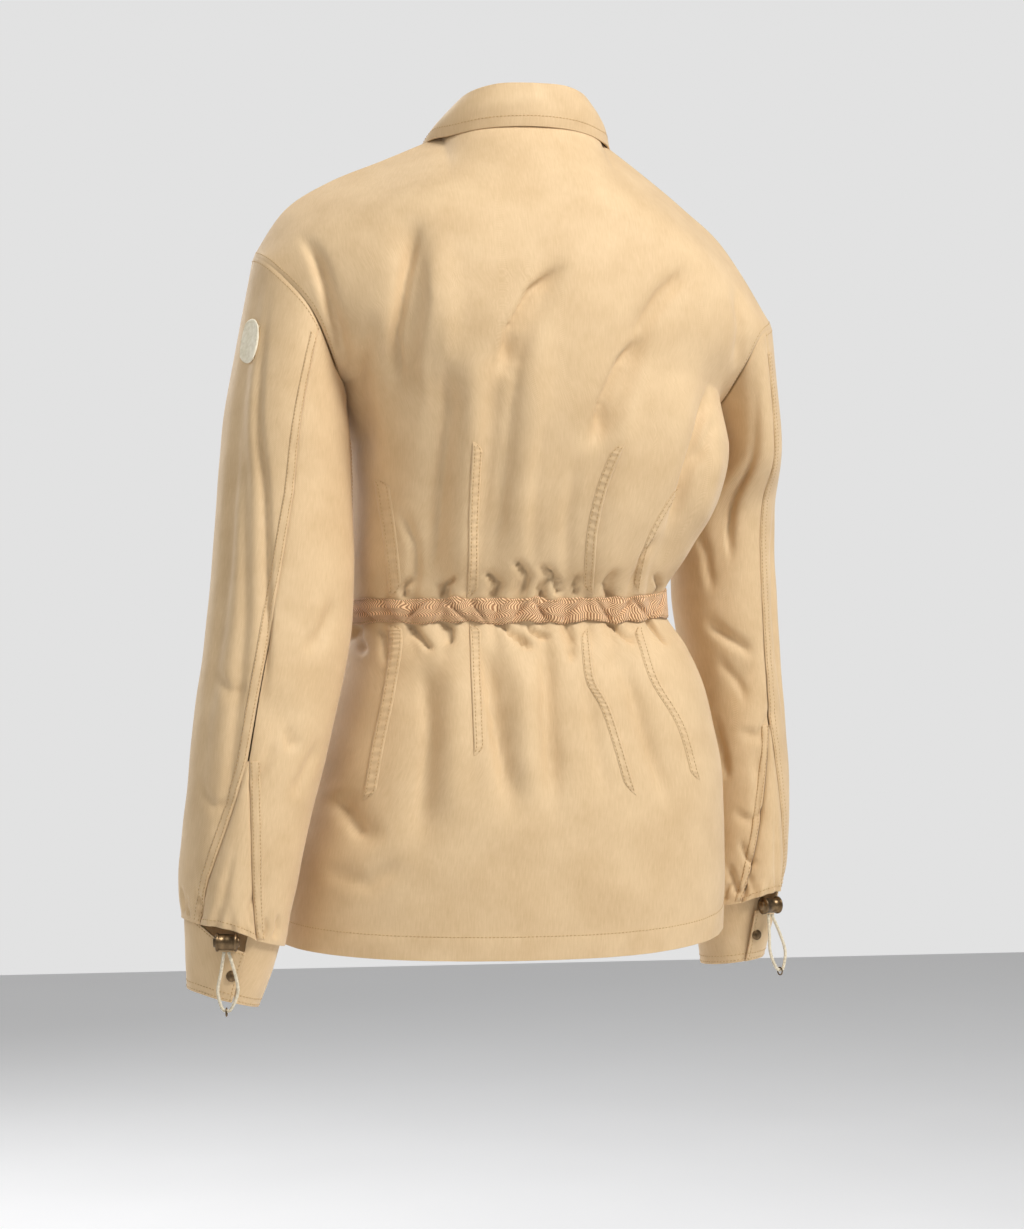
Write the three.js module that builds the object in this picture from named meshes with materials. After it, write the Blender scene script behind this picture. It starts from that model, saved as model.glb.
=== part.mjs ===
// A field jacket in cotton, hollow and in the pose of a wearer who stands.
// Millimetres, +Z up, the front faces -Y, the wearer's left is +X.
// The origin is at the base of the neck.
import * as THREE from "three";

// Cloth and clearances
const WALL = 2;
const SEAM_TRIM = 0.35;
const LAP_GAP = 0.7;

// Sampling of the walls
const SIDE_COLUMNS = 13;
const LAP_COLUMNS = [-1, 0, 1.3, 2.8];
const NECK_COLUMNS = 4;
const LOOP_STEPS = 20;

// Neckline and front
const NECK_SHARE = 0.34;
const NECK = { halfWidth: 68, back: 52, front: 62, y: -10, z: 3, backDrop: -3, frontDrop: 54 };
const FRONT_LAP = 14;
const BUTTON = { radius: 8, thickness: 3, count: 6, topRow: 13.2, bottomRow: 1.2, gap: 0.8 };

// Tape casing at the waist: the rows that it covers
const TAPE_ROWS = [5, 5.5, 6];
const TAPE_LIFT = 0.5;
const TAPE_THICKNESS = 1.6;

// Rows of the body from the hem up to the neck.
// z: height at the centre back, zf: at the centre front, zl and zr: at the left and right edges,
// back and front: depth at the centres, left, right, yl and yr: the places of the edges,
// turn: how far a row turns round the side of the body (1) or runs flat into the sleeve (0).
const BODY = [
  {
    z: -684, zf: -676, zl: -674, zr: -661,
    back: 127, front: -122, left: 211, right: -169, yl: -8, yr: 6, turn: 1,
  },
  {
    z: -615, zf: -610, zl: -610, zr: -603,
    back: 130, front: -124, left: 204, right: -170, yl: -18, yr: 8, turn: 1,
  },
  {
    z: -545, zf: -542, zl: -545, zr: -538,
    back: 126, front: -121, left: 184, right: -167, yl: -26, yr: 12, turn: 1,
  },
  {
    z: -482, zf: -480, zl: -483, zr: -474,
    back: 113, front: -114, left: 165, right: -155, yl: -28, yr: 14, turn: 1,
  },
  {
    z: -438, zf: -436, zl: -439, zr: -429,
    back: 98, front: -105, left: 151, right: -137, yl: -26, yr: 15, turn: 1,
  },
  {
    z: -410, zf: -408, zl: -411, zr: -403,
    back: 85, front: -98, left: 145, right: -119, yl: -20, yr: 15, turn: 1,
  },
  {
    z: -390, zf: -389, zl: -391, zr: -381,
    back: 85, front: -98, left: 145, right: -118, yl: -20, yr: 15, turn: 1,
  },
  {
    z: -357, zf: -357, zl: -358, zr: -352,
    back: 97, front: -106, left: 144, right: -136, yl: -22, yr: 20, turn: 1,
  },
  {
    z: -308, zf: -308, zl: -309, zr: -306,
    back: 111, front: -117, left: 142, right: -161, yl: -24, yr: 26, turn: 1,
  },
  {
    z: -250, zf: -252, zl: -257, zr: -262,
    back: 121, front: -125, left: 145, right: -171, yl: -16, yr: 22, turn: 1,
  },
  { z: -196, zf: -204, back: 124, front: -128, turn: 0.9 },
  { z: -146, zf: -160, back: 121, front: -126, turn: 0.55 },
  { z: -94, zf: -122, back: 107, front: -114, turn: 0.25 },
  { z: -44, zf: -84, back: 79, front: -92, turn: 0 },
];
const ARMPIT_ROW = 10;
const TOP_ROW = BODY.length;
const SQUARE = 2.35;
const SLOPE = 2.2;
const LOW_ROWS = [0, 0.4, 1, 1.7, 2.4, 3, 3.6, 4.2, 4.7, 5, 5.5, 6, 6.3, 6.8, 7.3, 7.9, 8.5, 9.2];

// Shoulder seams from the neck to the armhole
const SHOULDER = {
  left: [
    { x: 68, y: -10, z: 3 },
    { x: 118, y: -10, z: -19 },
    { x: 165, y: -10, z: -39 },
    { x: 203, y: -8, z: -64 },
    { x: 230, y: -5, z: -104 },
  ],
  right: [
    { x: -68, y: -10, z: 3 },
    { x: -106, y: -12, z: -24 },
    { x: -145, y: -14, z: -54 },
    { x: -182, y: -15, z: -88 },
    { x: -221, y: -15, z: -153 },
  ],
};

// Armholes, from the top round the back to the armpit and up the front, 45 degrees apart
const ARMHOLE = {
  left: [
    { x: 230, y: -5, z: -104 },
    { x: 219, y: 32, z: -116 },
    { x: 192, y: 58, z: -150 },
    { x: 171, y: 44, z: -190 },
    { x: 158, y: -4, z: -213 },
    { x: 172, y: -42, z: -192 },
    { x: 190, y: -60, z: -150 },
    { x: 216, y: -38, z: -114 },
  ],
  right: [
    { x: -221, y: -15, z: -153 },
    { x: -213, y: 20, z: -157 },
    { x: -197, y: 44, z: -168 },
    { x: -182, y: 36, z: -198 },
    { x: -170, y: -4, z: -226 },
    { x: -171, y: -50, z: -206 },
    { x: -188, y: -70, z: -176 },
    { x: -211, y: -48, z: -159 },
  ],
};

// Sleeve sections below the armhole: centre, half width across the body and half depth.
// tilt lowers the ring on the inner side.
const SLEEVE = {
  left: [
    { x: 208, y: 6, z: -235, across: 46, deep: 68, tilt: 4 },
    { x: 211, y: 14, z: -305, across: 51, deep: 64, tilt: 2 },
    { x: 217, y: 32, z: -400, across: 55, deep: 61, tilt: 0 },
    { x: 230, y: 52, z: -480, across: 55, deep: 59, tilt: 0 },
    { x: 243, y: 64, z: -560, across: 51, deep: 56, tilt: 4 },
    { x: 253, y: 68, z: -622, across: 47, deep: 51, tilt: 9 },
    { x: 256, y: 68, z: -661, across: 42, deep: 46, tilt: 12 },
  ],
  right: [
    { x: -207, y: -32, z: -262, across: 27, deep: 54, tilt: 4 },
    { x: -196, y: -62, z: -314, across: 42, deep: 54, tilt: 2 },
    { x: -197, y: -72, z: -385, across: 46, deep: 54, tilt: 0 },
    { x: -206, y: -74, z: -460, across: 42, deep: 54, tilt: 0 },
    { x: -211, y: -70, z: -540, across: 42, deep: 52, tilt: 3 },
    { x: -210, y: -66, z: -612, across: 42, deep: 50, tilt: 6 },
    { x: -207, y: -64, z: -652, across: 38, deep: 45, tilt: 8 },
  ],
};
const SLEEVE_ROWS = [0, 0.35, 0.7, 1, 1.5, 2, 2.5, 3, 3.5, 4, 4.5, 5, 5.5, 6, 6.5, 7];

// Angles of the sleeve seams in degrees: the back seam and, below its apex, the gusset's two
// lines, at rows along the sleeve.
const BACK_SEAM = {
  left: [
    { row: 0, near: 108, far: 108 },
    { row: 2, near: 94, far: 94 },
    { row: 3, near: 80, far: 80 },
    { row: 4.5, near: 75, far: 76.5 },
    { row: 6, near: 53, far: 98 },
    { row: 7, near: 42, far: 110 },
  ],
  right: [
    { row: 0, near: 72, far: 72 },
    { row: 2, near: 64, far: 64 },
    { row: 3, near: 63, far: 63 },
    { row: 4.5, near: 67, far: 68.5 },
    { row: 6, near: 46, far: 92 },
    { row: 7, near: 36, far: 104 },
  ],
};
// Sleeve folds: angle and row of the middle, how far they reach, and their slant in rows
const SLEEVE_FOLDS = {
  left: [
    { angle: 30, row: 2.2, degrees: 14, rows: 3.2, slant: 0, depth: -5 },
    { angle: 100, row: 4.1, degrees: 34, rows: 0.4, slant: 0.5, depth: -4 },
    { angle: 250, row: 3.2, degrees: 40, rows: 0.5, slant: -0.4, depth: -5 },
    { angle: 320, row: 1.2, degrees: 24, rows: 0.8, slant: 0, depth: -4 },
  ],
  right: [
    { angle: 110, row: 1.6, degrees: 16, rows: 1.4, slant: 0, depth: -5 },
    { angle: 100, row: 4, degrees: 34, rows: 0.4, slant: 0.6, depth: -4 },
    { angle: 250, row: 3.2, degrees: 40, rows: 0.5, slant: -0.4, depth: -5 },
    { angle: 320, row: 1.2, degrees: 24, rows: 0.8, slant: 0, depth: -4 },
  ],
};
const FRONT_SEAM = 234;
const GUSSET_ROWS = [4.5, 5, 5.5, 6, 6.5, 7];
const GUSSET_COLUMNS = 5;
const GUSSET_LIFT = 8;
const GUSSET_RISE = 0.16;

// Cuffs: the lower ring, and the angles where the band starts and ends. The upper ring stands a
// little inside the sleeve's end. slant is how far the lapping end's upper edge drops.
const CUFF = {
  left: {
    bottom: { x: 265, y: 68, z: -714, across: 29, deep: 35, tilt: 8 },
    start: 100,
    end: 456,
    slant: 16,
  },
  right: {
    bottom: { x: -202, y: -66, z: -706, across: 27, deep: 34, tilt: 4 },
    start: 74,
    end: 444,
    slant: 14,
  },
};
const CUFF_GAP = 0.8;
const CUFF_RISE = 4;
const CUFF_COLUMNS = 22;
const CUFF_LAP_DEGREES = 90;

// Largest folds of the back, from one point to another in X and Z: depth is negative for a valley
const BACK_FOLDS = [
  { x0: 92, z0: -46, x1: 146, z1: -140, width: 22, depth: -7 },
  { x0: 88, z0: -92, x1: 126, z1: -148, width: 20, depth: 6 },
  { x0: 74, z0: -170, x1: 86, z1: -385, width: 20, depth: -8 },
  { x0: 40, z0: -205, x1: 62, z1: -370, width: 22, depth: 6 },
  { x0: 0, z0: -122, x1: 20, z1: -215, width: 22, depth: -6 },
  { x0: 16, z0: -225, x1: 30, z1: -360, width: 20, depth: -6 },
  { x0: -62, z0: -134, x1: -18, z1: -170, width: 20, depth: -5 },
  { x0: -104, z0: -170, x1: -62, z1: -245, width: 22, depth: -7 },
  { x0: -78, z0: -232, x1: -56, z1: -370, width: 24, depth: 6 },
  { x0: -150, z0: -232, x1: -118, z1: -282, width: 22, depth: -7 },
  { x0: 70, z0: -452, x1: 62, z1: -552, width: 20, depth: -6 },
  { x0: 26, z0: -446, x1: 12, z1: -548, width: 20, depth: -8 },
  { x0: 48, z0: -440, x1: 40, z1: -560, width: 20, depth: 5 },
  { x0: 150, z0: -556, x1: 124, z1: -592, width: 18, depth: -4 },
];
const FRONT_FOLDS = [
  { x0: 120, z0: -120, x1: 96, z1: -250, width: 24, depth: -7 },
  { x0: -126, z0: -150, x1: -98, z1: -270, width: 24, depth: -7 },
  { x0: 84, z0: -300, x1: 78, z1: -380, width: 18, depth: -6 },
  { x0: -80, z0: -290, x1: -72, z1: -378, width: 18, depth: -6 },
  { x0: 96, z0: -420, x1: 112, z1: -560, width: 22, depth: -6 },
  { x0: -88, z0: -420, x1: -104, z1: -540, width: 22, depth: -6 },
];
// Gathers at the tape: place across and how far they run up and down
const BACK_GATHERS = [
  { x: 128, up: 34, down: 30, depth: -3.5 },
  { x: 108, up: 46, down: 36, depth: -4 },
  { x: 84, up: 40, down: 44, depth: -4 },
  { x: 62, up: 30, down: 26, depth: -3.5 },
  { x: 42, up: 36, down: 46, depth: -4 },
  { x: 22, up: 30, down: 28, depth: -4 },
  { x: 2, up: 44, down: 50, depth: -4.5 },
  { x: -18, up: 34, down: 34, depth: -4 },
  { x: -36, up: 42, down: 30, depth: -4 },
  { x: -56, up: 30, down: 44, depth: -4 },
  { x: -76, up: 36, down: 34, depth: -4 },
  { x: -96, up: 48, down: 40, depth: -3.5 },
];
const FRONT_GATHERS = [
  { x: 120, up: 40, down: 34, depth: -3.5 },
  { x: 94, up: 32, down: 44, depth: -4 },
  { x: 68, up: 44, down: 30, depth: -4 },
  { x: 44, up: 30, down: 38, depth: -3.5 },
  { x: -42, up: 38, down: 32, depth: -3.5 },
  { x: -66, up: 30, down: 44, depth: -4 },
  { x: -92, up: 42, down: 34, depth: -3.5 },
];
const GATHER_WIDTH = 8;

// Collar at equal steps from the centre back to the front tip: the folded top edge, and where
// the free edge lies on the panels. below is in rows from the shoulder seam, negative in front.
const COLLAR = [
  { x: 0, y: 40, z: 42, column: 0, below: 0.17 },
  { x: 30, y: 35, z: 41, column: 0.17, below: 0.16 },
  { x: 52, y: 16, z: 35, column: 0.33, below: 0.27 },
  { x: 60, y: -8, z: 24, column: 0.39, below: 0 },
  { x: 52, y: -36, z: 8, column: 0.43, below: -0.28 },
  { x: 32, y: -58, z: -14, column: 0.4, below: -0.7 },
  { x: 8, y: -70, z: -32, column: 0.25, below: -1.15 },
];
const COLLAR_LIFT = 3;
const COLLAR_BULGE = 4;
const COLLAR_COLUMNS = 28;
const COLLAR_ROWS = 4;
const STAND_COLUMNS = 28;
const STAND_BASE = { back: 1, front: 3.8 };

// Cord lock, cord loop and ring at each cuff. The loop's points are in its own plane:
// across and down from the lock.
const LOCK = { radius: 7.5, length: 21 };
const CORD = { radius: 1.3, sides: 8, steps: 24, gap: 0.3 };
const RING = { radius: 3.2, thickness: 0.6 };
const LOOP = [
  { across: -1.5, down: 0 },
  { across: -7, down: 18 },
  { across: -9, down: 32 },
  { across: -4, down: 45 },
  { across: 0, down: 47 },
  { across: 4, down: 44 },
  { across: 7, down: 31 },
  { across: 4.5, down: 16 },
  { across: 2, down: 0 },
];
const LOOP_LOWEST = 4;
const TRIM = {
  left: { angle: 76, swing: 0 },
  right: { angle: 70, swing: 0.3 },
};
const TRIM_GAP = 2.8;
const SNAP = { radius: 4.5, thickness: 2, back: 9, down: 0.5, gap: 0.8 };

// Patch on the left sleeve: its middle and reach in degrees, and its rows
const PATCH = { angle: 30, halfAngle: 14, rows: [0.42, 0.53, 0.63, 0.74], columns: 4, lift: 0.6 };
const PATCH_THICKNESS = 1.2;

const MATERIALS = {
  cloth: { color: 0xddbf90, roughness: 0.8, metalness: 0 },
  tape: { color: 0xb98a5e, roughness: 0.85, metalness: 0 },
  cord: { color: 0xd9cdb0, roughness: 0.7, metalness: 0 },
  metal: { color: 0x6b5230, roughness: 0.35, metalness: 0.9 },
  button: { color: 0x8a6a44, roughness: 0.5, metalness: 0 },
  patch: { color: 0xe9e2d0, roughness: 0.8, metalness: 0 },
};

const jacket = new THREE.Group();

function mix(a, b, share) {
  return a + (b - a) * share;
}

function smooth(share) {
  const t = Math.min(1, Math.max(0, share));
  return t * t * (3 - 2 * t);
}

function point(row) {
  return new THREE.Vector3(row.x, row.y, row.z);
}

function radians(degrees) {
  return (degrees * Math.PI) / 180;
}

// A value of a Catmull-Rom curve through four neighbours
function through(a, b, c, d, t) {
  const slopeStart = (c - a) / 2;
  const slopeEnd = (d - b) / 2;
  const t2 = t * t;
  const t3 = t2 * t;
  const start = (2 * t3 - 3 * t2 + 1) * b + (t3 - 2 * t2 + t) * slopeStart;
  return start + (3 * t2 - 2 * t3) * c + (t3 - t2) * slopeEnd;
}

// A point of a smooth open curve, whose parameter counts the points
function along(points, place) {
  const last = points.length - 1;
  const i = Math.min(last - 1, Math.max(0, Math.floor(place)));
  const t = place - i;
  const [a, b, c, d] = [i - 1, i, i + 1, i + 2].map((k) => points[Math.min(last, Math.max(0, k))]);
  return new THREE.Vector3(
    through(a.x, b.x, c.x, d.x, t),
    through(a.y, b.y, c.y, d.y, t),
    through(a.z, b.z, c.z, d.z, t),
  );
}

// A point of a smooth closed loop, whose parameter is in degrees
function around(points, degrees) {
  const n = points.length;
  const place = ((((degrees / 360) * n) % n) + n) % n;
  const i = Math.floor(place);
  const [a, b, c, d] = [i - 1, i, i + 1, i + 2].map((k) => points[(k + n) % n]);
  const t = place - i;
  return new THREE.Vector3(
    through(a.x, b.x, c.x, d.x, t),
    through(a.y, b.y, c.y, d.y, t),
    through(a.z, b.z, c.z, d.z, t),
  );
}

// A value read from a table between its rows
function lookUp(table, key, place, value) {
  const i = table.findIndex((row) => row[key] >= place);
  if (i <= 0) return i === 0 ? table[0][value] : table[table.length - 1][value];
  const share = (place - table[i - 1][key]) / (table[i][key] - table[i - 1][key]);
  return mix(table[i - 1][value], table[i][value], share);
}

// How much a straight fold moves the cloth at a place
function foldDepth(fold, x, z) {
  const dx = fold.x1 - fold.x0;
  const dz = fold.z1 - fold.z0;
  const length = Math.hypot(dx, dz);
  const share = ((x - fold.x0) * dx + (z - fold.z0) * dz) / (length * length);
  const off = ((x - fold.x0) * dz - (z - fold.z0) * dx) / length;
  const ends = smooth((share + 0.15) / 0.35) * smooth((1.15 - share) / 0.35);
  return fold.depth * ends * Math.exp(-((off / fold.width) ** 2) * 2.5);
}

function gatherDepth(gather, x, height) {
  const reach = height > 0 ? gather.up : gather.down;
  const fade = smooth(1 - Math.abs(height) / reach);
  return gather.depth * fade * Math.exp(-(((x - gather.x) / GATHER_WIDTH) ** 2) * 2.5);
}

// Height above or below the tape, zero between its edges
function heightFromTape(row, z) {
  if (row >= TAPE_ROWS[0] && row <= TAPE_ROWS[2]) return 0;
  const edge = row > TAPE_ROWS[2] ? BODY[6].z : BODY[5].z;
  return z - edge;
}

// The way out of the body's wall at a point
function bodyOut(p) {
  const x = Math.min(60, Math.max(-60, p.x));
  const z = Math.min(p.z, -130);
  return new THREE.Vector3(p.x - x, p.y, p.z - z).normalize();
}

function armholeOut(side, degrees) {
  const centre = new THREE.Vector3();
  for (const row of ARMHOLE[side]) centre.add(point(row));
  centre.divideScalar(ARMHOLE[side].length);
  return around(ARMHOLE[side], degrees).sub(centre).normalize();
}

// Angle on the armhole of the body's edge at a row
function armholeAngle(panel, row) {
  const share = (row - ARMPIT_ROW) / (TOP_ROW - ARMPIT_ROW);
  return panel === "back" ? 180 * (1 - share) : 180 + 180 * share;
}

// The top edge of a panel: neckline, then shoulder seam
function topEdge(panel, u) {
  const side = u >= 0 ? "left" : "right";
  const share = Math.abs(u) / NECK_SHARE;
  if (share > 1) {
    const seam = SHOULDER[side];
    const place = ((Math.abs(u) - NECK_SHARE) / (1 - NECK_SHARE)) * (seam.length - 1);
    return along(seam, place);
  }
  const angle = (share * Math.PI) / 2;
  const depth = panel === "back" ? NECK.back : -NECK.front;
  const drop = panel === "back" ? NECK.backDrop : NECK.frontDrop;
  return new THREE.Vector3(
    Math.sign(u) * NECK.halfWidth * Math.sin(angle),
    NECK.y + depth * Math.cos(angle),
    NECK.z - drop * Math.cos(angle),
  );
}

// A point of one of the table's rows, at a share u across from the right (-1) to the left (1)
function rowPoint(panel, index, u) {
  if (index >= TOP_ROW) return topEdge(panel, u);
  const row = BODY[index];
  const side = u >= 0 ? "left" : "right";
  const open = index < ARMPIT_ROW;
  const edge = open
    ? new THREE.Vector3(row[side], ...(side === "left" ? [row.yl, row.zl] : [row.yr, row.zr]))
    : around(ARMHOLE[side], armholeAngle(panel, index));
  const middleX = open ? (row.left + row.right) / 2 : 0;
  const middleZ = panel === "back" ? row.z : row.zf;
  const middleY = panel === "back" ? row.back : row.front;
  const far = Math.abs(u);
  const turned = Math.sin((far * Math.PI) / 2);
  const roundness = Math.max(0, 1 - turned ** SQUARE) ** (1 / SQUARE);
  const fullness = mix(1 - far ** SLOPE, roundness, row.turn);
  return new THREE.Vector3(
    mix(middleX, edge.x, mix(far, turned, row.turn)),
    mix(edge.y, middleY, fullness),
    mix(middleZ, edge.z, far ** SLOPE),
  );
}

// The four rows of the table round a place, at one share across
function rowsRound(panel, u, row) {
  const base = Math.min(TOP_ROW - 1, Math.floor(row));
  const clamp = (k) => Math.min(TOP_ROW, Math.max(0, k));
  return [base - 1, base, base + 1, base + 2].map((k) => rowPoint(panel, clamp(k), u));
}

function placeInRows(row) {
  return 1 + row - Math.min(TOP_ROW - 1, Math.floor(row));
}

// The body's outer surface: the rows joined by smooth curves, moved by folds and gathers
function bodyPoint(panel, u, row) {
  const p = along(rowsRound(panel, u, row), placeInRows(row));
  pullToEdge(p, panel, u, row);
  const folds = panel === "back" ? BACK_FOLDS : FRONT_FOLDS;
  const gathers = panel === "back" ? BACK_GATHERS : FRONT_GATHERS;
  const height = heightFromTape(row, p.z);
  let depth = 0;
  for (const fold of folds) depth += foldDepth(fold, p.x, p.z);
  for (const gather of gathers) depth += gatherDepth(gather, p.x, height);
  const fade = smooth((1 - Math.abs(u)) / 0.15) * smooth(row / 0.6) * smooth((TOP_ROW - row) / 0.8);
  return p.addScaledVector(bodyOut(p), depth * fade);
}

// Brings the side edge of a panel onto the armhole, and onto the line that both panels share
// just below the armpit. The cloth beside the edge follows.
function pullToEdge(p, panel, u, row) {
  if (row <= ARMPIT_ROW - 1) return;
  const side = u >= 0 ? "left" : "right";
  const edge = side === "left" ? 1 : -1;
  const drawn = along(rowsRound(panel, edge, row), placeInRows(row));
  const wanted =
    row < ARMPIT_ROW
      ? rowPoint(panel, ARMPIT_ROW - 1, edge).lerp(rowPoint(panel, ARMPIT_ROW, edge), row % 1)
      : around(ARMHOLE[side], armholeAngle(panel, row));
  p.add(wanted.sub(drawn).multiplyScalar(Math.abs(u) ** 4));
}

// A wall from a grid of points, each with the way out. Its outer face holds the points.
function wallGeometry(grid, outs, thickness) {
  const rows = grid.length;
  const columns = grid[0].length;
  const positions = [];
  for (const layer of [0, -thickness]) {
    for (let i = 0; i < rows; i++) {
      for (let j = 0; j < columns; j++) {
        const p = grid[i][j].clone().addScaledVector(outs[i][j], layer);
        positions.push(p.x, p.y, p.z);
      }
    }
  }
  const faces = [];
  const outer = (i, j) => i * columns + j;
  const inner = (i, j) => rows * columns + i * columns + j;
  const quad = (a, b, c, d) => faces.push(a, b, c, a, c, d);
  for (let i = 0; i < rows - 1; i++) {
    for (let j = 0; j < columns - 1; j++) {
      quad(outer(i, j), outer(i, j + 1), outer(i + 1, j + 1), outer(i + 1, j));
      quad(inner(i, j), inner(i + 1, j), inner(i + 1, j + 1), inner(i, j + 1));
    }
    quad(outer(i, 0), outer(i + 1, 0), inner(i + 1, 0), inner(i, 0));
    const last = columns - 1;
    quad(outer(i, last), inner(i, last), inner(i + 1, last), outer(i + 1, last));
  }
  for (let j = 0; j < columns - 1; j++) {
    const last = rows - 1;
    quad(outer(0, j), inner(0, j), inner(0, j + 1), outer(0, j + 1));
    quad(outer(last, j), outer(last, j + 1), inner(last, j + 1), inner(last, j));
  }
  if (signedVolume(positions, faces) < 0) faces.reverse();
  const geometry = new THREE.BufferGeometry();
  geometry.setAttribute("position", new THREE.Float32BufferAttribute(positions, 3));
  geometry.setIndex(faces);
  return geometry;
}

function signedVolume(positions, faces) {
  const corner = (k) => new THREE.Vector3().fromArray(positions, faces[k] * 3);
  let volume = 0;
  for (let k = 0; k < faces.length; k += 3) {
    volume += corner(k).dot(corner(k + 1).cross(corner(k + 2)));
  }
  return volume;
}

// Moves the border of a grid inwards, so that neighbours stay apart at their seam
function trimBorder(grid) {
  const rows = grid.length;
  const columns = grid[0].length;
  const pull = (p, q) => q.clone().sub(p).setLength(SEAM_TRIM);
  for (const line of grid) {
    const first = pull(line[0], line[1]);
    const last = pull(line[columns - 1], line[columns - 2]);
    line[0].add(first);
    line[columns - 1].add(last);
  }
  for (let j = 0; j < columns; j++) {
    const first = pull(grid[0][j], grid[1][j]);
    const last = pull(grid[rows - 1][j], grid[rows - 2][j]);
    grid[0][j].add(first);
    grid[rows - 1][j].add(last);
  }
}

function addMesh(name, geometry, materialName) {
  geometry.computeVertexNormals();
  const mesh = new THREE.Mesh(geometry, new THREE.MeshStandardMaterial(MATERIALS[materialName]));
  mesh.name = name;
  jacket.add(mesh);
  return mesh;
}

// Rows of the body panels: the upper ones meet the sleeve's first ring point for point
function bodyRows() {
  const rows = [...LOW_ROWS];
  const steps = LOOP_STEPS / 2;
  for (let k = 0; k <= steps; k++) rows.push(mix(ARMPIT_ROW, TOP_ROW, k / steps));
  return rows;
}

// Columns from the neck point to the side, the same on front and back
function sideColumns() {
  const columns = [];
  for (let k = 0; k <= SIDE_COLUMNS; k++) columns.push(mix(NECK_SHARE, 1, k / SIDE_COLUMNS));
  return columns;
}

function backColumns() {
  const side = sideColumns();
  const middle = [];
  for (let k = -NECK_COLUMNS + 1; k < NECK_COLUMNS; k++) {
    middle.push((k / NECK_COLUMNS) * NECK_SHARE);
  }
  return [...side.map((u) => -u).reverse(), ...middle, ...side];
}

// The share across at which a front reaches its free edge, past the centre line
function lapShare(row) {
  const index = Math.min(TOP_ROW - 1, Math.round(row));
  const quarter = Math.abs(rowPoint("front", index, 0.25).x - rowPoint("front", index, 0).x);
  return (FRONT_LAP / quarter) * 0.25;
}

function outAt(panel, u, row, p) {
  const side = u >= 0 ? "left" : "right";
  const atArmhole = Math.abs(u) > 0.999 && row > ARMPIT_ROW - 0.01;
  return atArmhole ? armholeOut(side, armholeAngle(panel, row)) : bodyOut(p);
}

function addBack() {
  const rows = bodyRows();
  const columns = backColumns();
  const grid = rows.map((row) => columns.map((u) => bodyPoint("back", u, row)));
  const outs = rows.map((row, i) => columns.map((u, j) => outAt("back", u, row, grid[i][j])));
  trimBorder(grid);
  addMesh("back", wallGeometry(grid, outs, WALL), "cloth");
}

// Columns of one front, from its lapping edge to its side
function frontColumns(sign, row) {
  const middle = LAP_COLUMNS.map((laps) => laps * lapShare(row));
  return [...middle, ...sideColumns()].map((u) => u * sign);
}

// The right front lies over the left one
function frontPoint(sign, u, row) {
  const p = bodyPoint("front", u, row);
  const [start, end] = LAP_COLUMNS.slice(-2);
  const nearness = (end - (u * sign) / lapShare(row)) / (end - start);
  const lift = sign < 0 ? (WALL + LAP_GAP) * smooth(nearness) : 0;
  return p.addScaledVector(bodyOut(p), lift);
}

function addFront(side) {
  const sign = side === "left" ? 1 : -1;
  const rows = bodyRows();
  const grid = rows.map((row) => frontColumns(sign, row).map((u) => frontPoint(sign, u, row)));
  const outs = rows.map((row, i) =>
    frontColumns(sign, row).map((u, j) => outAt("front", u, row, grid[i][j])),
  );
  trimBorder(grid);
  addMesh(`front_${side}`, wallGeometry(grid, outs, WALL), "cloth");
}

// The way out of a sleeve's wall: level, away from its middle line
function sleeveOut(side, degrees) {
  const lateral = side === "left" ? 1 : -1;
  return new THREE.Vector3(lateral * Math.cos(radians(degrees)), Math.sin(radians(degrees)), 0);
}

// A point of a level ring. Angle 0 is the outer side and 90 degrees the back.
function ringPoint(side, ring, degrees) {
  const lateral = side === "left" ? 1 : -1;
  const angle = radians(degrees);
  return new THREE.Vector3(
    ring.x + lateral * ring.across * Math.cos(angle),
    ring.y + ring.deep * Math.sin(angle),
    ring.z + ring.tilt * Math.cos(angle),
  );
}

function sleeveRing(side, index, degrees) {
  if (index <= 0) return around(ARMHOLE[side], degrees);
  const rings = SLEEVE[side];
  return ringPoint(side, rings[Math.min(index, rings.length) - 1], degrees);
}

function sleevePoint(side, degrees, row) {
  const base = Math.min(SLEEVE[side].length - 1, Math.floor(row));
  const rings = [base - 1, base, base + 1, base + 2].map((k) => sleeveRing(side, k, degrees));
  const p = along(rings, 1 + row - base);
  let depth = 0;
  for (const fold of SLEEVE_FOLDS[side]) depth += sleeveFoldDepth(fold, degrees, row);
  return p.addScaledVector(sleeveOut(side, degrees), depth * smooth(row / 0.7));
}

// Sleeve folds run across the sleeve or along it: centre and reach in degrees and in rows
function sleeveFoldDepth(fold, degrees, row) {
  const turn = ((((degrees - fold.angle) % 360) + 540) % 360) - 180;
  const slanted = row - fold.row - (turn / 90) * fold.slant;
  const across = Math.exp(-((slanted / fold.rows) ** 2) * 2.5);
  return fold.depth * across * Math.exp(-((turn / fold.degrees) ** 2) * 2.5);
}

function sleeveOutAt(side, degrees, row) {
  const first = armholeOut(side, degrees);
  return first.lerp(sleeveOut(side, degrees), smooth(row / 0.5)).normalize();
}

function addSleevePanel(name, side, startAt, endAt, steps) {
  const angles = (row) => {
    const list = [];
    for (let k = 0; k <= steps; k++) list.push(mix(startAt(row), endAt(row), k / steps));
    return list;
  };
  const grid = SLEEVE_ROWS.map((row) => angles(row).map((a) => sleevePoint(side, a, row)));
  const outs = SLEEVE_ROWS.map((row) => angles(row).map((a) => sleeveOutAt(side, a, row)));
  trimBorder(grid);
  addMesh(name, wallGeometry(grid, outs, WALL), "cloth");
}

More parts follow.
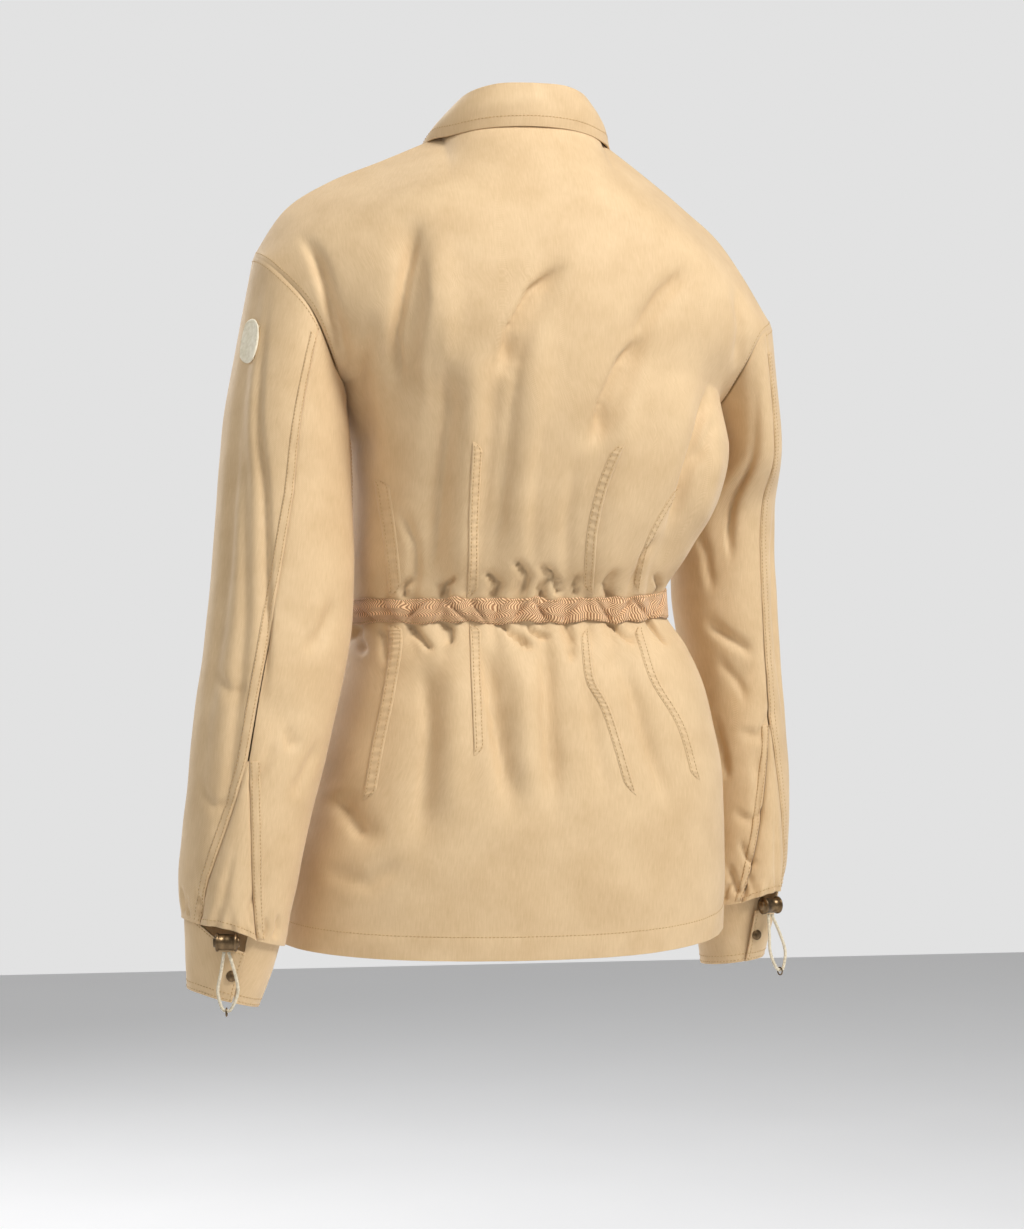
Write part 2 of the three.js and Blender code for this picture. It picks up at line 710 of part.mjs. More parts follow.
function addSleeve(side) {
  const seam = BACK_SEAM[side];
  const near = (row) => lookUp(seam, "row", row, "near") + 360;
  const far = (row) => lookUp(seam, "row", row, "far");
  const front = () => FRONT_SEAM;
  const step = 360 / LOOP_STEPS;
  const upperSteps = Math.round((seam[0].near + 360 - FRONT_SEAM) / step);
  addSleevePanel(`sleeve_${side}_upper`, side, front, near, upperSteps);
  addSleevePanel(`sleeve_${side}_under`, side, far, front, LOOP_STEPS - upperSteps);
}

// The gusset fills the opening of the back seam. Its free hem stands off and arches up.
function gussetPoint(side, share, row) {
  const [first, last] = [GUSSET_ROWS[0], GUSSET_ROWS[GUSSET_ROWS.length - 1]];
  const down = (row - first) / (last - first);
  const arch = Math.sin(share * Math.PI) * down;
  const near = lookUp(BACK_SEAM[side], "row", row, "near");
  const degrees = mix(near, lookUp(BACK_SEAM[side], "row", row, "far"), share);
  const p = sleevePoint(side, degrees, row - arch * down * GUSSET_RISE);
  return p.addScaledVector(sleeveOut(side, degrees), arch * GUSSET_LIFT);
}

function addGusset(side) {
  const seam = BACK_SEAM[side];
  const shares = [];
  for (let k = 0; k <= GUSSET_COLUMNS; k++) shares.push(k / GUSSET_COLUMNS);
  const grid = GUSSET_ROWS.map((row) =>
    shares.map((share) => gussetPoint(side, share, row)),
  );
  const outs = GUSSET_ROWS.map((row) =>
    shares.map((share) => {
      const near = lookUp(seam, "row", row, "near");
      return sleeveOut(side, mix(near, lookUp(seam, "row", row, "far"), share));
    }),
  );
  trimBorder(grid);
  addMesh(`gusset_${side}`, wallGeometry(grid, outs, WALL), "cloth");
}

function cuffTop(side) {
  const end = SLEEVE[side][SLEEVE[side].length - 1];
  const inset = WALL + CUFF_GAP;
  return { ...end, z: end.z + CUFF_RISE, across: end.across - inset, deep: end.deep - inset };
}

// A cuff is a band whose last stretch laps over its first. That end's upper edge slants down.
function cuffPoint(side, degrees, down) {
  const cuff = CUFF[side];
  const top = ringPoint(side, cuffTop(side), degrees);
  const slant = cuff.slant * smooth((degrees - cuff.end + CUFF_LAP_DEGREES) / CUFF_LAP_DEGREES);
  top.z -= slant;
  const p = top.lerp(ringPoint(side, cuff.bottom, degrees), down);
  const lap = smooth((degrees - cuff.start - 300) / 40) * (WALL + LAP_GAP);
  return p.addScaledVector(sleeveOut(side, degrees), lap);
}

function addCuff(side) {
  const cuff = CUFF[side];
  const angles = [];
  for (let k = 0; k <= CUFF_COLUMNS; k++) angles.push(mix(cuff.start, cuff.end, k / CUFF_COLUMNS));
  const grid = [0, 0.5, 1].map((down) => angles.map((a) => cuffPoint(side, a, down)));
  const outs = grid.map(() => angles.map((a) => sleeveOut(side, a)));
  addMesh(`cuff_${side}`, wallGeometry(grid, outs, WALL), "cloth");
}

// Tape casing: the panel's own points in the tape's rows, moved out
function addTape(name, panel, columnsAt, liftAt) {
  const grid = TAPE_ROWS.map((row) =>
    columnsAt(row).map((u) => {
      const p = liftAt(u, row);
      return p.addScaledVector(bodyOut(p), TAPE_LIFT + TAPE_THICKNESS);
    }),
  );
  const outs = grid.map((line) => line.map((p) => bodyOut(p)));
  trimBorder(grid);
  addMesh(name, wallGeometry(grid, outs, TAPE_THICKNESS), "tape");
}

function addTapes() {
  addTape("waist_tape_back", "back", backColumns, (u, row) => bodyPoint("back", u, row));
  for (const [side, sign] of [["left", 1], ["right", -1]]) {
    const columns = (row) => frontColumns(sign, row).slice(3);
    addTape(`waist_tape_${side}`, "front", columns, (u, row) => frontPoint(sign, u, row));
  }
}

// The collar's folded top edge and its free edge, which lies just above the panels.
// Share 0 is the centre back, 1 the left front tip and -1 the right one.
function collarFold(share) {
  const place = Math.abs(share) * (COLLAR.length - 1);
  const p = along(COLLAR, place);
  p.x *= Math.sign(share) || 1;
  return p;
}

function collarFreeEdge(share) {
  const onPanel = COLLAR.map((row) => ({ x: row.column, y: row.below, z: 0 }));
  const place = along(onPanel, Math.abs(share) * (COLLAR.length - 1));
  const panel = place.y >= 0 ? "back" : "front";
  const u = place.x * (Math.sign(share) || 1);
  const p = bodyPoint(panel, u, TOP_ROW - Math.abs(place.y));
  return p.addScaledVector(bodyOut(p), COLLAR_LIFT + WALL);
}

function collarOut(p, down) {
  return new THREE.Vector3(p.x, p.y - NECK.y, 0)
    .normalize()
    .setZ(0.15 + 0.6 * down)
    .normalize();
}

function addCollarFall() {
  const grid = [];
  const outs = [];
  for (let i = 0; i <= COLLAR_ROWS; i++) {
    const down = i / COLLAR_ROWS;
    const line = [];
    for (let j = 0; j <= COLLAR_COLUMNS; j++) {
      const share = (2 * j) / COLLAR_COLUMNS - 1;
      const p = collarFold(share).lerp(collarFreeEdge(share), down);
      line.push(p.addScaledVector(collarOut(p, down), COLLAR_BULGE * Math.sin(down * Math.PI)));
    }
    grid.push(line);
    outs.push(line.map((p) => collarOut(p, down)));
  }
  addMesh("collar_fall", wallGeometry(grid, outs, WALL), "cloth");
}

// A point of the neckline, with the same shares as the collar
function neckPoint(share) {
  const far = Math.abs(share);
  const sign = Math.sign(share) || 1;
  if (far <= 0.5) return topEdge("back", sign * far * 2 * NECK_SHARE);
  return topEdge("front", sign * (1 - far) * 2 * NECK_SHARE);
}

function addCollarStand() {
  const base = [];
  const middle = [];
  const top = [];
  for (let j = 0; j <= STAND_COLUMNS; j++) {
    const share = ((2 * j) / STAND_COLUMNS - 1) * 0.97;
    const low = neckPoint(share);
    low.z += mix(STAND_BASE.back, STAND_BASE.front, smooth((Math.abs(share) - 0.35) / 0.5));
    const high = collarFold(share);
    high.addScaledVector(collarOut(high, 0), -WALL - LAP_GAP);
    base.push(low);
    middle.push(low.clone().lerp(high, 0.5));
    top.push(high);
  }
  const grid = [base, middle, top];
  const outs = grid.map((line) => line.map((p) => collarOut(p, 0)));
  addMesh("collar_stand", wallGeometry(grid, outs, WALL), "cloth");
}

// Turns a mesh so that its own Y axis points the given way
function standOn(mesh, place, axis) {
  mesh.position.copy(place);
  mesh.quaternion.setFromUnitVectors(new THREE.Vector3(0, 1, 0), axis);
}

// The direction square to the right front at its centre line
function frontNormal(row) {
  const reach = 0.15;
  const up = frontPoint(-1, 0, row + reach).sub(frontPoint(-1, 0, row - reach));
  const side = frontPoint(-1, reach / 4, row).sub(frontPoint(-1, -reach / 4, row));
  return side.cross(up).normalize();
}

function addButtons() {
  for (let k = 0; k < BUTTON.count; k++) {
    const row = mix(BUTTON.topRow, BUTTON.bottomRow, k / (BUTTON.count - 1));
    const p = frontPoint(-1, 0, row);
    const way = frontNormal(row);
    const disc = new THREE.CylinderGeometry(BUTTON.radius, BUTTON.radius, BUTTON.thickness, 20);
    const mesh = addMesh(`button_${k + 1}`, disc, "button");
    standOn(mesh, p.addScaledVector(way, BUTTON.thickness / 2 + BUTTON.gap), way);
  }
}

// Places at a cuff: the middle of its cord lock, which hangs at the gusset's hem, and the
// directions out and across from it
function trimFrame(side) {
  const out = sleeveOut(side, TRIM[side].angle);
  const place = gussetPoint(side, 0.5, GUSSET_ROWS[GUSSET_ROWS.length - 1]);
  place.addScaledVector(out, -WALL / 2);
  place.z -= LOCK.radius + TRIM_GAP;
  const across = new THREE.Vector3(0, 0, 1).cross(out);
  return { place, out, across };
}

function addCordLock(side) {
  const { place, across } = trimFrame(side);
  const barrel = new THREE.CylinderGeometry(LOCK.radius, LOCK.radius, LOCK.length, 16);
  standOn(addMesh(`cuff_lock_${side}`, barrel, "metal"), place, across);
}

function loopPoint(side, row) {
  const { place, out, across } = trimFrame(side);
  return place
    .addScaledVector(across, -row.across)
    .addScaledVector(out, TRIM[side].swing * row.down)
    .add(new THREE.Vector3(0, 0, -LOCK.radius - CORD.gap - row.down));
}

function addCordLoop(side) {
  const route = new THREE.CatmullRomCurve3(LOOP.map((row) => loopPoint(side, row)));
  const section = new THREE.Shape();
  for (let k = 0; k < CORD.sides; k++) {
    const angle = (k / CORD.sides) * 2 * Math.PI;
    const corner = [CORD.radius * Math.cos(angle), CORD.radius * Math.sin(angle)];
    if (k === 0) section.moveTo(...corner);
    else section.lineTo(...corner);
  }
  const tube = new THREE.ExtrudeGeometry(section, {
    steps: CORD.steps,
    extrudePath: route,
    curveSegments: 1,
  });
  addMesh(`cuff_cord_${side}`, tube, "cord");
}

function addRing(side) {
  const { across } = trimFrame(side);
  const lowest = loopPoint(side, LOOP[LOOP_LOWEST]);
  lowest.z -= RING.radius - RING.thickness - CORD.radius - CORD.gap;
  const ring = new THREE.TorusGeometry(RING.radius, RING.thickness, 8, 20);
  const mesh = addMesh(`cuff_ring_${side}`, ring, "metal");
  mesh.position.copy(lowest);
  mesh.quaternion.setFromUnitVectors(new THREE.Vector3(0, 0, 1), across);
}

function addSnap(side) {
  const degrees = CUFF[side].end - SNAP.back;
  const way = sleeveOut(side, degrees);
  const p = cuffPoint(side, degrees, SNAP.down);
  const disc = new THREE.CylinderGeometry(SNAP.radius, SNAP.radius, SNAP.thickness, 16);
  const mesh = addMesh(`cuff_snap_${side}`, disc, "metal");
  standOn(mesh, p.addScaledVector(way, SNAP.thickness / 2 + SNAP.gap), way);
}

// A plain patch, made from the sleeve's points, moved out
function addPatch() {
  const angles = [];
  for (let k = 0; k <= PATCH.columns; k++) {
    angles.push(PATCH.angle + mix(-PATCH.halfAngle, PATCH.halfAngle, k / PATCH.columns));
  }
  const grid = PATCH.rows.map((row) =>
    angles.map((angle) => {
      const p = sleevePoint("left", angle, row);
      return p.addScaledVector(sleeveOutAt("left", angle, row), PATCH.lift + PATCH_THICKNESS);
    }),
  );
  const outs = PATCH.rows.map((row) => angles.map((angle) => sleeveOutAt("left", angle, row)));
  addMesh("sleeve_patch", wallGeometry(grid, outs, PATCH_THICKNESS), "patch");
}

addBack();
for (const side of ["left", "right"]) {
  addFront(side);
  addSleeve(side);
  addGusset(side);
  addCuff(side);
  addCordLock(side);
  addCordLoop(side);
  addRing(side);
  addSnap(side);
}
addTapes();
addCollarStand();
addCollarFall();
addButtons();
addPatch();

export default jacket;
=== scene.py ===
# A cotton field jacket, hollow and in the form that it has when worn, dressed round its CAD frame.
# The tables are in millimetres, as a pattern maker measures. The meshes are in metres.
import math

import bpy
import numpy as np
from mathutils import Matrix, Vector
from mathutils.bvhtree import BVHTree


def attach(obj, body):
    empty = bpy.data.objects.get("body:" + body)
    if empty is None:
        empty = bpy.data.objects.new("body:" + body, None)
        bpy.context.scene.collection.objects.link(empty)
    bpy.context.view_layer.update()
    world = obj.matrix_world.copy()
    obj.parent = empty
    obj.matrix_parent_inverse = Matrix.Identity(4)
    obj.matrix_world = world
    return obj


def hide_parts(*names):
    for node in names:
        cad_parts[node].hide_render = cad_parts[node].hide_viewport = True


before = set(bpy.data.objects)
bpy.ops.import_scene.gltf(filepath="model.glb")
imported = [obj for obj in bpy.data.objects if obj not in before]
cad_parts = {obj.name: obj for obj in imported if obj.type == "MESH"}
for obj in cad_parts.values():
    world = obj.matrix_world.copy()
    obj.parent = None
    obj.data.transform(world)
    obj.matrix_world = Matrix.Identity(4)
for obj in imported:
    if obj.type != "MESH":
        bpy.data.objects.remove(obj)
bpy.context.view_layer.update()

MM = 0.001
SIDES = ("left", "right")
LATERAL = {"left": 1, "right": -1}
UP = np.array([0, 0, 1.0])

# Cloth and sampling: panel sizes and the spacing of their points
CLOTH = 0.9
LAP_LIFT = 2.7
SEAM = {"sink": 0.7, "width": 1.6}
SIZE = {
    "back": 450, "front": 235, "upper": 215, "under": 165, "sleeve": 560,
    "gusset": 50, "gusset_length": 160, "cuff": 260, "cuff_depth": 52,
    "fall": 460, "fall_depth": 48, "stand": 400, "tape": 360, "front_tape": 150,
}
GRID = {"back": 3.0, "front": 3.4, "waist": 1.9, "sleeve": 3.0, "cuff": 2.4, "collar": 2.2, "short": 1.8}

# Camera, in metres and degrees
CAMERA = {"target": (0.00915, -0.00194, -0.4033), "azimuth": 168, "distance": 2.8, "lens": 96.5}
FLOOR = {"height": -1.35, "half_width": 6.0}

# Neckline and front
NECK_SHARE = 0.34
NECK = {"half_width": 68, "back": 52, "front": 62, "y": -10, "z": 3, "back_drop": -3, "front_drop": 54}
FRONT_LAP = 14
LAP_COLUMNS = (-1, 0, 1.3, 2.8)
BUTTON = {"count": 6, "top_row": 13.2, "bottom_row": 1.2, "gap": 0.8}

# The body's rows from the hem up: height, depth of the middle of back and front, and how far
# a row turns round the side of the body (1) or runs flat into the sleeve (0).
MIDDLES = np.array([
    # z, z front, back, front, turn
    (-684, -676, 127, -122, 1),
    (-615, -610, 130, -124, 1),
    (-545, -542, 126, -121, 1),
    (-482, -480, 113, -114, 1),
    (-438, -436, 98, -105, 1),
    (-410, -408, 85, -98, 1),
    (-390, -389, 85, -98, 1),
    (-357, -357, 97, -106, 1),
    (-308, -308, 111, -117, 1),
    (-250, -252, 121, -125, 1),
    (-196, -204, 124, -128, 0.9),
    (-146, -160, 121, -126, 0.55),
    (-94, -122, 107, -114, 0.25),
    (-44, -84, 79, -92, 0),
], float)
# The side seams' places, from the hem up to just below the underarm
EDGES = {
    "left": np.array([
        # x, y, z
        (211, -8, -674),
        (204, -18, -610),
        (184, -26, -545),
        (165, -28, -483),
        (151, -26, -439),
        (145, -20, -411),
        (145, -20, -391),
        (144, -22, -358),
        (142, -24, -309),
        (145, -16, -257),
    ], float),
    "right": np.array([
        (-169, 6, -661),
        (-170, 8, -603),
        (-167, 12, -538),
        (-155, 14, -474),
        (-137, 15, -429),
        (-119, 15, -403),
        (-118, 15, -381),
        (-136, 20, -352),
        (-161, 26, -306),
        (-171, 22, -262),
    ], float),
}
UNDERARM_ROW = 10
TOP_ROW = 14
SQUARE = 2.35
SLOPE = 2.2
# The upright core that the body's wall faces away from
BODY_CORE = {"half_width": 60, "top": -130}
TAPE_ROWS = (5, 6)

# Shoulder seams from the neck to the armhole
SHOULDER = {
    "left": np.array([
        (68, -10, 3), (118, -10, -19), (165, -10, -39), (203, -8, -64), (230, -5, -104),
    ], float),
    "right": np.array([
        (-68, -10, 3), (-106, -12, -24), (-145, -14, -54), (-182, -15, -88), (-221, -15, -153),
    ], float),
}
# Armholes from the top round the back to the underarm and up the front, 45 degrees apart
ARMHOLE = {
    "left": np.array([
        (230, -5, -104), (219, 32, -116), (192, 58, -150), (171, 44, -190),
        (158, -4, -213), (172, -42, -192), (190, -60, -150), (216, -38, -114),
    ], float),
    "right": np.array([
        (-221, -15, -153), (-213, 20, -157), (-197, 44, -168), (-182, 36, -198),
        (-170, -4, -226), (-171, -50, -206), (-188, -70, -176), (-211, -48, -159),
    ], float),
}
# Sleeve sections below the armhole: centre, half width, half depth, and the fall of the inner side
SLEEVE = {
    "left": np.array([
        # x, y, z, across, deep, tilt
        (208, 6, -235, 46, 68, 4),
        (211, 14, -305, 51, 64, 2),
        (217, 32, -400, 55, 61, 0),
        (230, 52, -480, 55, 59, 0),
        (243, 64, -560, 51, 56, 4),
        (253, 68, -622, 47, 51, 9),
        (256, 68, -661, 42, 46, 12),
    ], float),
    "right": np.array([
        (-207, -32, -262, 27, 54, 4),
        (-196, -62, -314, 42, 54, 2),
        (-197, -72, -385, 46, 54, 0),
        (-206, -74, -460, 42, 54, 0),
        (-211, -70, -540, 42, 52, 3),
        (-210, -66, -612, 42, 50, 6),
        (-207, -64, -652, 38, 45, 8),
    ], float),
}
SLEEVE_END = 7
# Angles of the back seam down the sleeve. It parts round the gusset below row 4.5.
BACK_SEAM = {
    "left": np.array([
        # row, near, far
        (0, 108, 108), (2, 94, 94), (3, 80, 80), (4.5, 75, 76.5), (6, 53, 98), (7, 42, 110),
    ], float),
    "right": np.array([
        (0, 72, 72), (2, 64, 64), (3, 63, 63), (4.5, 67, 68.5), (6, 46, 92), (7, 36, 104),
    ], float),
}
FRONT_SEAM = 234
GUSSET = {"top": 4.5, "lift": 8, "rise": 0.16, "gather": 1.6, "fold": -3}

# Cuffs: lower ring, angles of the band's start and end, and the drop of the lapping end
CUFF = {
    "left": {"bottom": (265, 68, -714, 29, 35, 8), "start": 100, "end": 456, "slant": 16},
    "right": {"bottom": (-202, -66, -706, 27, 34, 4), "start": 74, "end": 444, "slant": 14},
}
CUFF_INSET = 2.8
CUFF_RISE = 4
CUFF_WAIST = -1.2
CUFF_LAP_DEGREES = 90

# Large folds, where the worn jacket has them: from, to, width and depth, negative for a valley
BACK_FOLDS = (
    ((112, -85), (122, -215), 20, -7),
    ((92, -105), (88, -215), 18, 5),
    ((84, -190), (95, -385), 20, -6),
    ((66, -200), (70, -372), 20, 5),
    ((-4, -118), (46, -205), 16, -7),
    ((48, -200), (56, -370), 16, -5),
    ((14, -170), (26, -360), 20, 5),
    ((-78, -172), (-34, -262), 16, -7),
    ((-120, -116), (-66, -176), 18, -5),
    ((-66, -236), (-44, -370), 22, 5),
    ((-146, -205), (-100, -375), 20, -7),
    ((-150, -270), (-136, -330), 14, 4),
    ((98, -445), (110, -590), 20, -5),
    ((76, -440), (84, -560), 18, 4),
    ((48, -430), (36, -560), 16, -7),
    ((22, -440), (24, -540), 18, 5),
    ((2, -430), (2, -560), 14, -5),
    ((-60, -440), (-100, -560), 20, -4),
    ((166, -552), (146, -590), 18, -4),
)
FRONT_FOLDS = (
    ((120, -120), (96, -250), 24, -7),
    ((-126, -150), (-98, -270), 24, -7),
    ((84, -300), (78, -380), 18, -6),
    ((-80, -290), (-72, -378), 18, -6),
    ((96, -420), (112, -560), 22, -6),
    ((-88, -420), (-104, -540), 22, -6),
)
# Large sleeve folds: angle, row, reach in degrees and rows, slant in rows, depth
FRONT_SLEEVE_FOLDS = ((250, 3.2, 40, 0.5, -0.4, -5), (320, 1.2, 24, 0.8, 0, -4))
SLEEVE_FOLDS = {
    "left": (
        (30, 2.2, 14, 3.2, 0, -5),
        (100, 4.1, 34, 0.4, 0.5, -4),
        *FRONT_SLEEVE_FOLDS,
    ),
    "right": (
        (110, 1.6, 16, 1.4, 0, -5),
        (100, 4, 34, 0.4, 0.6, -4),
        *FRONT_SLEEVE_FOLDS,
    ),
}
# Gathers at the tape: place across, reach up and down, depth
BACK_GATHERS = (
    (128, 34, 30, -3.5), (108, 46, 36, -4), (84, 40, 44, -4), (62, 30, 26, -3.5),
    (42, 36, 46, -4), (22, 30, 28, -4), (2, 44, 50, -4.5), (-18, 34, 34, -4),
    (-36, 42, 30, -4), (-56, 30, 44, -4), (-76, 36, 34, -4), (-96, 48, 40, -3.5),
)
FRONT_GATHERS = (
    (120, 40, 34, -3.5), (94, 32, 44, -4), (68, 44, 30, -4), (44, 30, 38, -3.5),
    (-42, 38, 32, -3.5), (-66, 30, 44, -4), (-92, 42, 34, -3.5),
)
GATHER_WIDTH = 8

# Collar from the centre back to the front tip: folded top edge, and the free edge on the panels
COLLAR_FOLD = np.array([
    (0, 40, 42), (30, 35, 41), (52, 16, 35), (60, -8, 24), (52, -36, 8), (32, -58, -14), (8, -70, -32),
], float)
COLLAR_EDGE = np.array([
    # column, rows below the shoulder seam (negative in front)
    (0, 0.17), (0.17, 0.16), (0.33, 0.27), (0.39, 0), (0.43, -0.28), (0.4, -0.7), (0.25, -1.15),
], float)
COLLAR_LIFT = 5
COLLAR_BULGE = 4
# How far the collar faces up, at its fold and at its free edge
COLLAR_RISE = (0.15, 0.75)
# Dents of the fall: place across and down, reach of each, depth
COLLAR_DENTS = ((-0.1, 0.45, 0.07, 0.3, -1.6), (0.13, 0.2, 0.08, 0.25, -1.5))
STAND_BASE = {"back": 1, "front": 3.8}

# Cord lock, cord loop and ring at each cuff: the loop's points lie across and down from the lock
LOCK_RADIUS = 7.5
CORD = {"radius": 1.3, "gap": 0.3, "braid": 0.14, "weave": 1.25}
RING = {"radius": 3.2, "thickness": 0.6}
LOOP = ((-1.5, 0), (-7, 18), (-9, 32), (-4, 45), (0, 47), (4, 44), (7, 31), (4.5, 16), (2, 0))
LOOP_LOWEST = 4
TRIM = {"left": {"angle": 76, "swing": 0}, "right": {"angle": 70, "swing": 0.3}}
TRIM_GAP = 2.8
SNAP = {"back": 9, "down": 0.5, "gap": 0.8}

# Patch on the left sleeve, in degrees and rows
PATCH = {"angle": 30, "half_angle": 13, "top": 0.45, "bottom": 0.71, "lift": 1.8, "squareness": 2.4}

# Cloth details
# Uneven places: height and the length over which it changes
UNEVEN = {
    "body": (0.7, 24), "sleeve": (0.6, 22), "cuff": (0.7, 15),
    "fall": (0.45, 16), "tape": (0.3, 8), "hem": (0.55, 9),
}
FINE_STEPS = np.array([0.5, 1.2, 2.2])
HEM = {"height": 19.5, "extra": 0.5, "groove": -0.5, "groove_width": 1.4}
TAPE_HEIGHT = -400
CREASE_STRENGTH = {"body": 2.0, "sleeve": 1.35}
# Extra fullness where the left sleeve and the body's left side nearly touch
SLEEVE_FULLNESS = {"sleeve": 10, "angle": 172, "reach": 50, "row": 2.2, "rows": 2.6}
SIDE_FULLNESS = {"body": 1.5, "from": 0.62, "row": 8, "rows": 2.6}
CUFF_CLOTH = 1.6
COLLAR_CLOTH = 1.3
COLLAR_STAND_GAP = 4.2
COLLAR_SOFTENING = 160
STAND_SINK = 4
STAND_INSET = 1.3
STAND_REACH = 0.97
PATCH_CLOTH = 1.2
TAPE_CLOTH = 0.9
STRIP_CLOTH = 0.8
# The collar fold's roll: how far in and up from the fold line
ROLL = ((-2.6, -3.0), (-2.7, -1.2), (-2.3, 0.2), (-1.3, 0.9), (-0.5, 0.6))
STITCH = {"pitch": 3.2, "length": 2.2, "width": 0.75, "height": 0.55, "sunk": 0.1}
# How far behind the back the lines start that find the tucks' places
BEHIND = 600.0
STRIP = {
    "sample": 0.9, "columns": 12, "stitched": (3, 9), "fade": 16,
    "proud": 1.5, "flush": 0.25, "pucker": 0.24, "pitch": 6.1,
}
SEAM_STRIP = {
    "sample": 1.1, "columns": 9, "stitched": (2, 7),
    "degrees": 9.5, "base": 0.12, "lift": 0.55, "pucker": 0.25,
}
TAPE = {
    "height": 20, "lift": 0.9, "puff": 3.4, "pinch_depth": 0.5, "pinch_width": 2.3,
    "sample": 1.1, "rows": 19, "wave": 0.9,
}
# Pinches of the tape: place across and slant
TAPE_PINCHES = (
    (139, 0.8), (104, -0.9), (73, 0.9), (37, -0.7), (3, 0.8), (-24, -0.8), (-51, 0.7),
    (-69, -0.9), (-86, 0.8), (-106, -0.7), (122, 0.5), (88, -0.5), (55, 0.6), (20, -0.8),
)
CORD_STEPS = 144

# Stitched tucks of the back: the fold's path in X and Z, and the signed width of the strip
TUCKS = (
    (((134, -291), (129, -333), (123, -388)), -9),
    (((66, -263), (67, -326), (64, -389)), -9),
    (((-59, -264), (-46, -300), (-40, -340), (-42, -386)), 9),
    (((-116, -296), (-98, -325), (-88, -352), (-84, -384)), 6),
    (((123, -412), (124, -431), (132, -470), (143, -515), (151, -555)), -8.5),
    (((62, -411), (65, -455), (66, -518)), -9),
    (((-38, -415), (-38, -455), (-51, -485), (-69, -551)), 8),
    (((-86, -412), (-95, -456), (-118, -496), (-131, -541)), 8),
)

# Profiles of the turned pieces: place along the axis and radius
LOCK_PROFILE = (
    (-10.5, 0.01), (-10.5, 3.6), (-10.1, 4.1), (-8.6, 4.2), (-8.4, 7), (-8, 7.5),
    (-6.6, 7.5), (-6.2, 7), (-6, 6.5), (6, 6.5), (6.2, 7), (6.6, 7.5),
    (8, 7.5), (8.4, 7), (8.6, 4.2), (10.1, 4.1), (10.5, 3.6), (10.5, 0.01),
)
SNAP_PROFILE = (
    (0, 0.01), (0, 4.5), (0.6, 4.5), (1.1, 4.1), (1.3, 3.3), (1.35, 2.9), (1.8, 2.3), (2, 1.2), (2.05, 0.01),
)
BUTTON_PROFILE = (
    (0, 0.01), (0, 6.8), (0.5, 7.7), (1.5, 8), (2.5, 7.8),
    (3, 7.1), (2.9, 6.2), (2.2, 5.2), (1.9, 3.5), (1.9, 0.01),
)
# The two bars of thread on a button
THREAD = {"radius": 0.45, "reach": 1.7, "apart": 1.2, "height": 2.35}

# Linear colours, dark and light
COLOURS = {
    "cloth": ((0.57, 0.39, 0.205), (0.72, 0.525, 0.305)),
    "tape": ((0.38, 0.19, 0.085), (0.92, 0.6, 0.33)),
    "cord": ((0.52, 0.44, 0.3), (0.78, 0.7, 0.54)),
    "metal": ((0.1, 0.065, 0.035), (0.24, 0.16, 0.085)),
    "button": ((0.11, 0.06, 0.03), (0.26, 0.15, 0.07)),
    "patch": ((0.74, 0.66, 0.48), (0.9, 0.83, 0.66)),
    # Thread: darker than the cloth, partly the thread's own tone and partly painted shade of the dark dashes
    # at the needle holes
    "thread": ((0.42, 0.26, 0.11), (0.6, 0.4, 0.19)),
    "floor": ((0.84, 0.84, 0.85), (0.87, 0.87, 0.88)),
}
# Plain materials: name, how many grains a metre, roughness, strength of the grain, other finish
PLAIN = {
    "cord": ("cream_cord", 500, 0.8, 0.4, {"sheen": 0.2}),
    "metal": ("dark_bronze", 260, 0.36, 0.1, {"metallic": 1.0}),
    "button": ("brown_resin", 180, 0.35, 0.08, {}),
    "patch": ("cream_felt", 300, 0.85, 0.4, {"sheen": 0.2}),
    "thread": ("tan_thread", 700, 0.7, 0.3, {}),
    "floor": ("pale_floor", 3, 0.8, 0.02, {}),
}
# The weaves' sizes in metres
TWILL_PITCH = 0.00085
CHEVRON = {"height": 0.0062, "pitch": 0.0026}
# Light: strengths, places in metres, and heights of the surround's bands as shares of straight up
LIGHT = {
    "target": (0, 0, -0.35),
    "world": (1.0, 1.0, 1.0),
    "horizon": 0.17,
    "falloff": 0.5,
    "zenith": 0.16,
    "floor_glow": 0.22,
    "before": 0.76,
    "behind": 0.42,
    "key": 128,
    "key_place": (-1.45, 1.95, 2.2),
    "fill": 26,
    "fill_place": (1.7, 1.4, 2.1),
    "front": 60,
    "front_place": (1.4, -2.8, 1.2),
}

